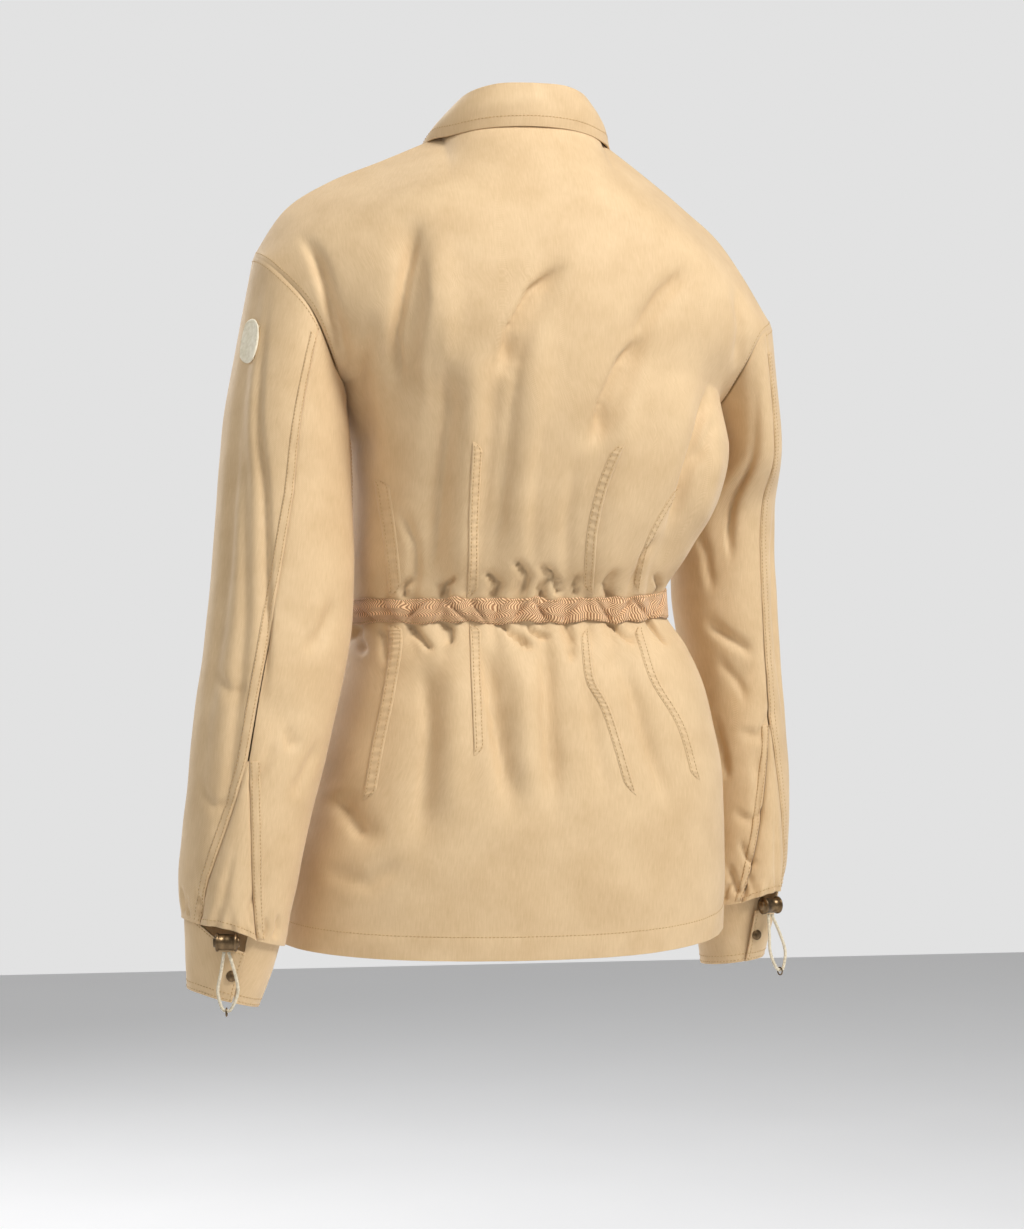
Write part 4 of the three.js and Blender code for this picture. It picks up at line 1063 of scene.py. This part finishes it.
def finish_body(panel, u, row, p, borders):
    """Adds a body panel's fine creases, hem and seams to its points."""
    x, z = p[..., 0], p[..., 2]
    creases = BACK_CREASES if panel == "back" else FRONT_CREASES
    edge = smooth((1 - np.abs(u)) / 0.05) * smooth((TOP_ROW - row) / 0.5)
    height, run = arc_lengths(p, 0), arc_lengths(p, 1)
    tape = smooth((np.abs(z - TAPE_HEIGHT) - 9) / 8)
    depth = creases_depth(creases, x, z, CREASE_STRENGTH["body"]) * edge * smooth(height / 12)
    depth = depth + uneven("body", x, z) * edge * tape + hem_relief(height, run) + side_fullness(u, row)
    normals = grid_normals(p, body_out(p))[0]
    return sink_seams(lift_by(p, normals, depth), normals, borders)


def make_back():
    u = crowded_at_sides(fine_line(SIZE["back"], GRID["back"]) * 2 - 1)[None, :]
    row = body_rows(GRID["back"])
    grid = finish_body("back", u, row, base_body("back", u, row), ("left", "right"))
    return cloth_piece("back", grid, body_out(grid))


def make_front(side):
    sign = LATERAL[side]
    row = body_rows(GRID["front"])
    s = fine_line(SIZE["front"], GRID["front"])[None, :]
    start = -lap_share(row)
    u = sign * mix(start, 1, 0.45 * s + 0.55 * np.sin(s * math.pi / 2))
    grid = finish_body("front", u, row, front_point(sign, u, row), ("right",))
    return cloth_piece(f"front_{side}", grid, body_out(grid))


def sleeve_fullness(degrees, row):
    """The left sleeve swells towards the body."""
    turn = (np.mod(degrees - SLEEVE_FULLNESS["angle"] + 180, 360) - 180) / SLEEVE_FULLNESS["reach"]
    level = (row - SLEEVE_FULLNESS["row"]) / SLEEVE_FULLNESS["rows"]
    return SLEEVE_FULLNESS["sleeve"] * bell(turn) * smooth(1.3 - np.abs(level))


def sleeve_depth(side, degrees, row):
    """The heights of a sleeve's fine creases."""
    down = -row * ROW_LENGTH
    turned = np.mod(degrees + 60, 360) - 60
    depth = creases_depth(SLEEVE_CREASES[side], turned, down, CREASE_STRENGTH["sleeve"])
    full = sleeve_fullness(degrees, row) if side == "left" else 0
    ends = smooth(row / 0.25) * smooth((SLEEVE_END - row) / 0.12)
    return (depth + full + uneven("sleeve", turned, down)) * ends


def sleeve_surface(side, degrees, row):
    degrees, row = both(degrees, row)
    depth = sleeve_depth(side, degrees, row)
    return lift_by(base_sleeve(side, degrees, row), sleeve_out(side, degrees), depth)


def make_sleeve(side, which):
    s = fine_line(SIZE[which], GRID["sleeve"])[None, :]
    row = (fine_line(SIZE["sleeve"], GRID["sleeve"]) * SLEEVE_END)[:, None]
    if which == "upper":
        degrees = mix(FRONT_SEAM, seam_angle(side, row, "near") + 360, s)
    else:
        degrees = mix(seam_angle(side, row, "far"), FRONT_SEAM, s)
    grid = sleeve_surface(side, degrees, row)
    out = sleeve_out(side, degrees)
    grid = sink_seams(grid, grid_normals(grid, out)[0], ("left", "right", "first"))
    return cloth_piece(f"sleeve_{side}_{which}", grid, out)


def make_gusset(side):
    """The gusset has one long fold, and gathers along its free hem."""
    share = fine_line(SIZE["gusset"], 1.6)[None, :]
    row = mix(GUSSET["top"], SLEEVE_END, fine_line(SIZE["gusset_length"], 2.2))[:, None]
    share, row = both(share, row)
    degrees = mix(seam_angle(side, row, "near"), seam_angle(side, row, "far"), share)
    out = sleeve_out(side, degrees)
    down = (row - GUSSET["top"]) / (SLEEVE_END - GUSSET["top"])
    inside = np.sin(share * math.pi)
    gathers = GUSSET["gather"] * np.sin(share * 26 + 3 * down) * smooth((down - 0.72) / 0.25)
    place = 0.42 - 0.2 * (down - 0.7)
    fold = GUSSET["fold"] * swell((share - place) / 0.09) * smooth((down - 0.3) / 0.4)
    relief = (gathers + fold) * inside + sleeve_depth(side, degrees, row) * (1 - inside)
    grid = lift_by(gusset_point(side, share, row), out, relief)
    grid = sink_seams(grid, grid_normals(grid, out)[0], ("left", "right"))
    return cloth_piece(f"gusset_{side}", grid, out)


def make_cuff(side):
    cuff = CUFF[side]
    degrees = mix(cuff["start"], cuff["end"], fine_line(SIZE["cuff"], GRID["cuff"]))[None, :]
    degrees, down = both(degrees, fine_line(SIZE["cuff_depth"], GRID["short"])[:, None])
    out = sleeve_out(side, degrees)
    waist = CUFF_WAIST * np.sin(down * math.pi) * np.sin(np.radians(degrees) * 1.5 + 0.6)
    grid = lift_by(cuff_point(side, degrees, down), out, uneven("cuff", degrees * 0.8, down * 50) + waist)
    return cloth_piece(f"cuff_{side}", grid, out, CUFF_CLOTH)


def softened(line, passes):
    """A line of points with its kinks rounded off, its ends kept."""
    for _ in range(passes):
        line = np.concatenate([line[:1], (line[:-2] + 2 * line[1:-1] + line[2:]) / 4, line[-1:]])
    return line


def collar_relief(share, down):
    relief = uneven("fall", share * 230, down * 48) * np.sin(down * math.pi)
    for across, level, wide, high, depth in COLLAR_DENTS:
        relief = relief + depth * swell((share - across) / wide) * swell((down - level) / high)
    return relief


def collar_grid():
    """The fall, with a rolled fold along its top that turns in to the stand."""
    share = (fine_line(SIZE["fall"], GRID["collar"]) * 2 - 1)[None, :]
    share, down = both(share, fine_line(SIZE["fall_depth"], 1.6)[:, None])
    free = softened(collar_edge(share[0]), COLLAR_SOFTENING)
    p = mix(collar_fold(share), free[None], down[..., None])
    p = lift_by(p, collar_out(p, down), COLLAR_BULGE * np.sin(down * math.pi))
    p = lift_by(p, collar_out(p, down), collar_relief(share, down))
    top = collar_fold(share[:1])
    roll = [top + collar_out(p[:1], 0) * back + UP * rise for back, rise in ROLL]
    return np.concatenate(roll + [p]), np.concatenate([np.zeros((len(ROLL),) + share.shape[1:]), down])


def make_collar():
    grid, down = collar_grid()
    return cloth_piece("collar_fall", grid, collar_out(grid, down), COLLAR_CLOTH)


def make_stand():
    share = ((fine_line(SIZE["stand"], GRID["collar"]) * 2 - 1) * STAND_REACH)[None, :]
    share, down = both(share, np.linspace(0, 1, 16)[:, None])
    low = neck_point(share)
    lift = mix(STAND_BASE["back"], STAND_BASE["front"], smooth((np.abs(share) - 0.35) / 0.5)) - STAND_SINK
    low = lift_by(low, UP, lift) - collar_out(low, 0) * STAND_INSET
    high = collar_fold(share)
    high = high - collar_out(high, 0) * COLLAR_STAND_GAP
    grid = mix(low, high, down[..., None])
    return cloth_piece("collar_stand", grid, collar_out(grid, 0), COLLAR_CLOTH)


def cloth_piece(node, grid, outward, thickness=CLOTH, held="draped", slot="cloth", kind="cloth"):
    """A cloth panel that stands for its CAD node."""
    obj = carry(shell(f"{node}_{kind}", grid, outward, thickness), slot, node)
    piece = {"obj": obj, "held": held, "trims": [], **surface_of(grid, outward)}
    return piece


def carry(obj, slot, node=None):
    """Gives a piece its material and its body, and hides the CAD node that it stands for."""
    obj.data.materials.clear()
    obj.data.materials.append(MATERIALS[slot])
    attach(obj, "root")
    if node:
        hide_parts(node)
    return obj


def sew_on(piece, obj, slot):
    carry(obj, slot)
    piece["trims"].append(obj)


# Strips and stitches on the panels

def pierce(surface, x, z):
    """Places on a surface straight below points over the back, and the directions out of it."""
    places = np.empty(x.shape + (3,))
    normals = np.empty(x.shape + (3,))
    for index in np.ndindex(x.shape):
        origin = Vector((x[index], BEHIND, z[index])) * MM
        place, normal = surface["tree"].ray_cast(origin, Vector((0, -1, 0)))[:2]
        places[index] = place
        normals[index] = normal
    return places / MM, normals * surface["sign"]


def strip(piece, name, places, normals, lift):
    """Sews a narrow fine shell on a panel, which stands a lift above it."""
    sew_on(piece, shell(name, lift_by(places, normals, lift), normals, STRIP_CLOTH), "cloth")


def puckers(run, share):
    return STRIP["pucker"] * np.sin(run / STRIP["pitch"] * 2 * math.pi + 1.3 * np.sin(run / 17) + share)


def tuck(surface, path, width):
    """A stitched tuck: its fold stands proud, its far edge is flush. Returns places, ways out and lift."""
    path = np.array(path, float)
    length = np.hypot(*np.diff(path, axis=0).T).sum()
    line = along(path, np.linspace(0, len(path) - 1, int(length / STRIP["sample"])))
    run = np.linspace(0, length, len(line))[:, None]
    share = np.linspace(0, 1, STRIP["columns"])[None, :]
    point = faded(run + 4, length + 8, STRIP["fade"])
    x = line[:, :1] + width * share * point
    places, normals = pierce(surface, x, np.broadcast_to(line[:, 1:], x.shape))
    proud = mix(STRIP["proud"], STRIP["flush"], share) * smooth(share / 0.12 + 0.35)
    lift = (proud + puckers(run, 2 * share) * np.sin(share * math.pi * 0.8 + 0.3)) * mix(0.3, 1, point)
    return places, normals, lift


def make_tucks(back):
    threads = []
    for number, (path, width) in enumerate(TUCKS, 1):
        places, normals, lift = tuck(back, path, width)
        strip(back, f"tuck_{number}", places, normals, lift)
        raised = lift_by(places, normals, lift + 0.1)[4:-4]
        threads += [laid_stitches(raised[:, k], normals[4:-4, k]) for k in STRIP["stitched"]]
    return threads


def laid_stitches(line, normals):
    """Stitches along a line of points whose outward directions are known."""
    places, tangents = resample(line, STITCH["pitch"])
    at = (np.arange(len(places)) + 0.5) / len(places)
    outward = unit(line_at(normals, np.linspace(0, 1, len(line)), at))
    return places, level_with(tangents, outward), outward


def inset_line(piece, border, distance):
    """The line of a panel's grid at a distance in from one of its borders."""
    grid = piece["grid"]
    if border in ("first", "last"):
        grid = grid.transpose(1, 0, 2)
    if border in ("right", "last"):
        grid = grid[:, ::-1]
    return np.array([line_at(line, run, distance) for line, run in zip(grid, arc_lengths(grid, 1))])


def topstitch(piece, *lines):
    """Stitch rows along lines given as a border's name and a distance in from it."""
    return [sewn(piece, inset_line(piece, border, distance)) for border, distance in lines]


def stitches_on(piece, name, rows):
    sew_on(piece, stitch_object(name, rows), "thread")


def make_seam_strip(side, piece, edge, turn, rows, name):
    """A felled seam down the sleeve: a flat band beside the seam's line, stitched twice."""
    row = np.linspace(*rows, int((rows[1] - rows[0]) * ROW_LENGTH / SEAM_STRIP["sample"]))[:, None]
    share = np.linspace(0, 1, SEAM_STRIP["columns"])[None, :]
    points = sleeve_surface(side, seam_angle(side, row, edge) + turn * share * SEAM_STRIP["degrees"], row)
    places, normals = seated(piece, points)
    run = (row - rows[0]) * ROW_LENGTH
    rising = smooth(share / 0.15) * smooth((1 - share) / 0.2)
    waves = SEAM_STRIP["pucker"] * np.sin(run / 3.6 + 2 * np.sin(run / 23))
    lift = SEAM_STRIP["base"] + (SEAM_STRIP["lift"] + waves) * rising
    strip(piece, name, places, normals, lift)
    raised = lift_by(places, normals, lift + 0.05)
    return [laid_stitches(raised[:, k], normals[:, k]) for k in SEAM_STRIP["stitched"]]


# The waist tape

def tape_relief(x, height):
    """Puffs between slanting pinches, flat along the sewn edges."""
    puff = TAPE["puff"] * np.sqrt(np.sin(np.clip(height, 0.03, 0.97) * math.pi))
    away = [np.abs(x - place - slant * (height - 0.5) * TAPE["height"]) for place, slant in TAPE_PINCHES]
    pinch = swell(np.min(away, axis=0) / TAPE["pinch_width"])
    ripple = uneven("tape", x, height * TAPE["height"])
    return puff * (1 - 0.95 * pinch) - TAPE["pinch_depth"] * pinch + ripple


def tape_waves(x, height):
    """How far the gathers draw the tape up and down, and its two edges apart and together."""
    edges = 0.9 * np.sin(x / 5.1 + 1.2 * np.sin(x / 13)) + 0.4 * np.sin(x / 2.7)
    return TAPE["wave"] * ((2 * height - 1) * edges + 0.8 * np.sin(x / 9 + 0.7 * np.sin(x / 21)))


def make_tape(name, panel, u, sign=0):
    row = np.linspace(*TAPE_ROWS, TAPE["rows"])[:, None]
    p = base_body(panel, u, row) if panel == "back" else front_point(sign, u, row)
    out = body_out(p)
    x, height = both(p[..., 0], row - TAPE_ROWS[0])
    grid = lift_by(p, UP, tape_waves(x, height))
    grid = lift_by(grid, out, TAPE["lift"] + tape_relief(x, height))
    piece = cloth_piece(name, grid, out, TAPE_CLOTH, "gathered", "tape")
    stitches_on(piece, f"{name}_stitches", topstitch(piece, ("first", 1.6), ("last", 1.6)))


def make_tapes():
    u = crowded_at_sides(fine_line(SIZE["tape"], TAPE["sample"]) * 2 - 1)[None, :]
    make_tape("waist_tape_back", "back", u)
    start = float(lap_share(np.array([TAPE_ROWS[0]]))[0]) * LAP_COLUMNS[-1]
    far = mix(start, 1.0, fine_line(SIZE["front_tape"], TAPE["sample"]))[None, :]
    for side in SIDES:
        make_tape(f"waist_tape_{side}", "front", far * LATERAL[side], LATERAL[side])


# Turned pieces

def axes_for(axis):
    """Two directions square to an axis and to each other."""
    guide = UP if abs(axis[2]) < 0.9 else np.array([1.0, 0, 0])
    first = unit(np.cross(guide, axis))
    return first, np.cross(axis, first)


def circle(first, second, count):
    """Directions all round, in the plane of two directions."""
    angle = np.arange(count) / count * 2 * math.pi
    return np.cos(angle)[:, None] * first[..., None, :] + np.sin(angle)[:, None] * second[..., None, :]


def rings_object(name, points, closed=False):
    """A round piece from rings of points, capped unless it closes on itself."""
    index = np.arange(points.shape[0] * points.shape[1]).reshape(points.shape[:2])
    ends = [] if closed else [index[0][::-1].tolist(), index[-1].tolist()]
    if closed:
        index = np.vstack([index, index[:1]])
    following = np.roll(index, -1, axis=1)
    quads = np.stack([index[:-1], following[:-1], following[1:], index[1:]], -1).reshape(-1, 4)
    return new_object(name, points.reshape(-1, 3) * MM, quads.tolist() + ends)


def turned(name, centre, axis, profile, segments=40):
    """A piece turned on a lathe. The profile is (place along the axis, radius) in millimetres."""
    profile = np.array(profile, float)
    ring = circle(*axes_for(axis), segments)
    return rings_object(name, centre + profile[:, None, :1] * axis + profile[:, None, 1:] * ring)


def tube(name, line, radius, closed=False, sides=14, braid=0.0):
    """A tube along a line of points. Braid raises a diamond pattern on it."""
    ahead = np.roll(line, -1, axis=0) - np.roll(line, 1, axis=0) if closed else np.gradient(line, axis=0)
    tangents = unit(ahead)
    first = unit(np.cross(tangents, np.cross([0, 1.0, 0.2], tangents)))
    angle = np.arange(sides) / sides * 2 * math.pi
    run = arc_lengths(line[None], 1)[0][:, None] * CORD["weave"]
    weave = np.abs(np.sin(2 * angle + run)) * np.abs(np.sin(2 * angle - run))
    ring = circle(first, np.cross(tangents, first), sides)
    return rings_object(name, lift_by(line[:, None], ring, radius - braid + 2 * braid * weave), closed)


# Cord locks, cords, rings, snaps and buttons

def trim_frame(side):
    """Where the cord lock hangs: its place, the way out and the way across."""
    out = sleeve_out(side, np.array(float(TRIM[side]["angle"])))
    place = gusset_point(side, 0.5, float(SLEEVE_END)) - out
    return place - UP * (LOCK_RADIUS + TRIM_GAP), out, np.cross(UP, out)


def loop_points(side):
    """The cord loop's control points, from the lock down and back up to it."""
    place, out, across = trim_frame(side)
    rows = np.array(LOOP, float)
    wide, down = rows[:, :1], rows[:, 1:]
    return place - across * wide + out * TRIM[side]["swing"] * down - UP * (LOCK_RADIUS + CORD["gap"] + down)


def make_cord(side):
    points = loop_points(side)
    line = along(points, np.linspace(0, len(points) - 1, CORD_STEPS))
    obj = tube(f"cuff_cord_{side}_braid", line, CORD["radius"], braid=CORD["braid"])
    return carry(obj, "cord", f"cuff_cord_{side}"), line


def make_ring(side):
    slack = RING["radius"] - RING["thickness"] - CORD["radius"] - CORD["gap"]
    centre = loop_points(side)[LOOP_LOWEST] - UP * slack
    line = centre + RING["radius"] * circle(*axes_for(trim_frame(side)[2]), 48)
    ring = tube(f"ring_{side}_metal", line, RING["thickness"], closed=True)
    return carry(ring, "metal", f"cuff_ring_{side}")


def make_lock(side):
    place, _, across = trim_frame(side)
    carry(turned(f"lock_{side}_barrel", place, across, LOCK_PROFILE), "metal", f"cuff_lock_{side}")


def make_snap(side):
    degrees = float(CUFF[side]["end"] - SNAP["back"])
    out = sleeve_out(side, np.array(degrees))
    place = cuff_point(side, degrees, SNAP["down"]) + out * SNAP["gap"]
    carry(turned(f"snap_{side}_cap", place, out, SNAP_PROFILE), "metal", f"cuff_snap_{side}")


def make_buttons():
    """Buttons down the right front, each sewn on with two bars of thread."""
    rows = np.linspace(BUTTON["top_row"], BUTTON["bottom_row"], BUTTON["count"])
    for number, row in enumerate(rows, 1):
        p, right, left = (front_point(-1, np.array([u]), np.array([row]))[0] for u in (0, 0.02, -0.02))
        high, low = (front_point(-1, np.zeros(1), np.array([row + k]))[0] for k in (0.05, -0.05))
        across = unit(right - left)
        out = unit(np.cross(right - left, high - low))
        centre = p + out * BUTTON["gap"]
        carry(turned(f"button_{number}_disc", centre, out, BUTTON_PROFILE), "button", f"button_{number}")
        bar = np.cross(out, across) * np.linspace(-THREAD["reach"], THREAD["reach"], 9)[:, None]
        for k in (-1, 1):
            ends = centre + out * THREAD["height"] + across * THREAD["apart"] * k + bar
            carry(tube(f"button_{number}_thread_{k + 2}", ends, THREAD["radius"]), "thread")


def make_patch():
    """An oval of felt with a stitched rim, on the left sleeve."""
    a, b = np.meshgrid(np.linspace(-1, 1, 40), np.linspace(-1, 1, 40))
    angle = PATCH["angle"] + PATCH["half_angle"] * a * np.sqrt(1 - b ** 2 / PATCH["squareness"])
    down = b * np.sqrt(1 - a ** 2 / PATCH["squareness"])
    p = sleeve_surface("left", angle, mix(PATCH["top"], PATCH["bottom"], (down + 1) / 2))
    out = sleeve_out("left", angle)
    near = border_distance(p, ("left", "right", "first", "last"))
    ridge = 0.35 * swell((near - 1.6) / 0.6) - 0.5 * swell(near / 0.7)
    grid = lift_by(p, out, PATCH["lift"] + ridge)
    cloth_piece("sleeve_patch", grid, out, PATCH_CLOTH, "laid", "patch", "felt")


# Materials

def new_material(name, roughness, metallic=0.0, sheen=0.0, specular=0.5):
    material = bpy.data.materials.new(name)
    material.use_nodes = True
    shader = material.node_tree.nodes["Principled BSDF"]
    finish = {
        "Roughness": roughness,
        "Metallic": metallic,
        "Specular IOR Level": specular,
        "Sheen Weight": sheen,
        "Sheen Roughness": 0.5,
    }
    for socket, value in finish.items():
        shader.inputs[socket].default_value = value
    return material, material.node_tree, shader


def put(tree, socket, value):
    """Sets a socket to a constant, or links it to another node's output."""
    if isinstance(value, bpy.types.NodeSocket):
        tree.links.new(value, socket)
    else:
        socket.default_value = value


def add(tree, kind, **inputs):
    node = tree.nodes.new(kind)
    for name, value in inputs.items():
        put(tree, node.inputs[name], value)
    return node


def calculate(tree, operation, *values):
    node = tree.nodes.new("ShaderNodeMath")
    node.operation = operation
    for k, value in enumerate(values):
        put(tree, node.inputs[k], value)
    return node.outputs[0]


def coordinates(tree, kind="Object"):
    return tree.nodes.new("ShaderNodeTexCoord").outputs[kind]


def noise(tree, vector, scale, detail=3.0):
    node = add(tree, "ShaderNodeTexNoise", Vector=vector, Scale=scale, Detail=detail, Roughness=0.55)
    return node.outputs["Fac"]


def blend_colours(tree, share, colours):
    ramp = add(tree, "ShaderNodeValToRGB", Fac=share)
    for element, colour, place in zip(ramp.color_ramp.elements, colours, (0.3, 0.7)):
        element.color = (*colour, 1)
        element.position = place
    return ramp.outputs["Color"]


def bumps(tree, shader, *layers):
    """Adds bump layers, each (height, strength, distance in metres), one on the other."""
    below = {}
    for height, strength, distance in layers:
        node = add(tree, "ShaderNodeBump", Strength=strength, Distance=distance, Height=height, **below)
        below = {"Normal": node.outputs["Normal"]}
    tree.links.new(below["Normal"], shader.inputs["Normal"])


def stripes(tree, phase, pitch):
    """Ridges a pitch apart along a phase in metres."""
    turns = calculate(tree, "MULTIPLY", phase, 2 * math.pi / pitch)
    return calculate(tree, "MULTIPLY_ADD", calculate(tree, "SINE", turns), 0.5, 0.5)


def cloth_material():
    """Tan cotton gabardine: a steep fine twill, yarns of slightly different colour, soft mottling."""
    material, tree, shader = new_material("tan_gabardine", 0.66, sheen=0.12, specular=0.35)
    uv = coordinates(tree, "UV")
    split = add(tree, "ShaderNodeSeparateXYZ", Vector=uv)
    across = split.outputs["X"]
    down = split.outputs["Y"]
    steep = calculate(tree, "MULTIPLY_ADD", down, 0.55, across)
    twill = stripes(tree, steep, TWILL_PITCH)
    drawn = add(tree, "ShaderNodeMapping", Vector=uv, Scale=(900, 90, 1))
    yarn = noise(tree, drawn.outputs["Vector"], 1.0, 2.0)
    mottle = noise(tree, coordinates(tree), 26.0, 4.0)
    share = calculate(tree, "MULTIPLY_ADD", yarn, 0.35, calculate(tree, "MULTIPLY", mottle, 0.55))
    share = calculate(tree, "MULTIPLY_ADD", twill, 0.1, share)
    tree.links.new(blend_colours(tree, share, COLOURS["cloth"]), shader.inputs["Base Color"])
    rumple = noise(tree, coordinates(tree), 120.0, 3.0)
    bumps(tree, shader, (rumple, 0.18, 0.0012), (twill, 0.22, 0.0002), (yarn, 0.15, 0.0002))
    return material


def tape_material():
    """Brown herringbone: chevrons from ridges that turn at every band of the tape's height."""
    material, tree, shader = new_material("herringbone_tape", 0.75, sheen=0.2, specular=0.25)
    uv = coordinates(tree, "UV")
    split = add(tree, "ShaderNodeSeparateXYZ", Vector=uv)
    band = calculate(tree, "PINGPONG", split.outputs["Y"], CHEVRON["height"])
    phase = calculate(tree, "ADD", split.outputs["X"], band)
    chevron = stripes(tree, phase, CHEVRON["pitch"])
    mottle = noise(tree, coordinates(tree), 90.0, 3.0)
    share = calculate(tree, "MULTIPLY_ADD", chevron, 0.75, calculate(tree, "MULTIPLY", mottle, 0.25))
    tree.links.new(blend_colours(tree, share, COLOURS["tape"]), shader.inputs["Base Color"])
    bumps(tree, shader, (chevron, 0.9, 0.0006), (mottle, 0.2, 0.001))
    return material


def plain_material(slot):
    """A material with a soft change of colour and a fine grain."""
    name, scale, roughness, bump, finish = PLAIN[slot]
    material, tree, shader = new_material(name, roughness, **finish)
    grain = noise(tree, coordinates(tree), scale, 4.0)
    tree.links.new(blend_colours(tree, grain, COLOURS[slot]), shader.inputs["Base Color"])
    bumps(tree, shader, (noise(tree, coordinates(tree), scale * 6, 2.0), bump, 0.0003))
    return material


def make_materials():
    """One material for each slot, and for the thread and the floor."""
    materials = {"cloth": cloth_material(), "tape": tape_material()}
    materials.update((slot, plain_material(slot)) for slot in PLAIN)
    return materials


# Camera, floor and light

def make_camera():
    camera = bpy.data.objects.new("camera", bpy.data.cameras.new("camera"))
    bpy.context.scene.collection.objects.link(camera)
    azimuth = math.radians(CAMERA["azimuth"])
    toward = Vector((math.sin(azimuth), -math.cos(azimuth), 0))
    target = Vector(CAMERA["target"])
    camera.location = target + toward * CAMERA["distance"]
    camera.rotation_euler = (-toward).to_track_quat("-Z", "Y").to_euler()
    camera.data.lens = CAMERA["lens"]
    camera.data.sensor_width = 36
    bpy.context.scene.camera = camera
    bpy.context.scene.view_settings.view_transform = "Standard"


def area_light(name, size):
    data = bpy.data.lights.new(name, "AREA")
    data.shape = "DISK"
    data.size = size
    data.energy = LIGHT[name]
    light = bpy.data.objects.new(name, data)
    light.location = LIGHT[f"{name}_place"]
    light.rotation_euler = (Vector(LIGHT["target"]) - light.location).to_track_quat("-Z", "Y").to_euler()
    bpy.context.scene.collection.objects.link(light)


def eased(tree, value, start, end, first, last):
    """A number that goes softly from first to last while the value goes from start to end."""
    names = ("Value", "From Min", "From Max", "To Min", "To Max")
    node = add(tree, "ShaderNodeMapRange", **dict(zip(names, (value, start, end, first, last))))
    node.interpolation_type = "SMOOTHSTEP"
    return node.outputs["Result"]


def make_world():
    """A pale surround, brightest near the horizon and on the jacket's front side."""
    world = bpy.data.worlds.new("pale_studio")
    world.use_nodes = True
    tree = world.node_tree
    background = tree.nodes["Background"]
    background.inputs["Color"].default_value = (*LIGHT["world"], 1)
    way = add(tree, "ShaderNodeSeparateXYZ", Vector=coordinates(tree, "Generated"))
    height = calculate(tree, "ABSOLUTE", way.outputs["Z"])
    band = eased(tree, height, LIGHT["horizon"], LIGHT["falloff"], 1.0, LIGHT["zenith"])
    level = eased(tree, way.outputs["Y"], -0.8, 0.8, LIGHT["before"], LIGHT["behind"])
    tree.links.new(calculate(tree, "MULTIPLY", band, level), background.inputs["Strength"])
    bpy.context.scene.world = world


def make_stage():
    half = FLOOR["half_width"]
    corners = [(-half, -half), (half, -half), (half, half), (-half, half)]
    points = np.array([(x, y, FLOOR["height"]) for x, y in corners])
    floor = new_object("floor", points, [(0, 1, 2, 3)])
    floor.data.materials.append(MATERIALS["floor"])
    glow = MATERIALS["floor"].node_tree.nodes["Principled BSDF"]
    glow.inputs["Emission Color"].default_value = (1, 1, 1, 1)
    glow.inputs["Emission Strength"].default_value = LIGHT["floor_glow"]
    make_world()
    for name, size in (("key", 1.3), ("fill", 2.2), ("front", 2.2)):
        area_light(name, size)


# The whole jacket

def make_cords():
    """Both cord loops are free: they hang out of their locks and go back into them."""
    for side in SIDES:
        obj, line = make_cord(side)
        ring = make_ring(side)


def make_body():
    back = make_back()
    threads = make_tucks(back)
    threads += topstitch(back, ("first", HEM["height"])) + topstitch(back, ("left", 4), ("right", 4))
    stitches_on(back, "back_stitches", threads)
    for side in SIDES:
        front = make_front(side)
        rows = topstitch(front, ("first", HEM["height"]), ("left", 5), ("left", 32))
        stitches_on(front, f"front_{side}_stitches", rows)


def make_sleeves():
    for side in SIDES:
        upper = make_sleeve(side, "upper")
        under = make_sleeve(side, "under")
        rows = make_seam_strip(side, upper, "near", -1, (0.25, 6.9), f"sleeve_{side}_back_seam")
        rows += topstitch(upper, ("first", 4))
        stitches_on(upper, f"sleeve_{side}_upper_stitches", rows)
        rows = make_seam_strip(side, under, "far", 1, (GUSSET["top"], 6.9), f"sleeve_{side}_gusset_seam")
        stitches_on(under, f"sleeve_{side}_under_stitches", rows)
        gusset = make_gusset(side)
        stitches_on(gusset, f"gusset_{side}_stitches", topstitch(gusset, ("last", 5)))
        cuff = make_cuff(side)
        rows = topstitch(cuff, ("first", 2), ("last", 2), ("right", 2.5), ("last", 7))
        stitches_on(cuff, f"cuff_{side}_stitches", rows)
        make_lock(side)
        make_snap(side)


def make_neck():
    collar = make_collar()
    rows = topstitch(collar, ("last", 9), ("left", 9), ("right", 9))
    stitches_on(collar, "collar_stitches", rows)
    make_stand()


def main():
    make_camera()
    make_cords()
    make_body()
    make_tapes()
    make_sleeves()
    make_neck()
    make_buttons()
    make_patch()
    make_stage()


MATERIALS = make_materials()
main()
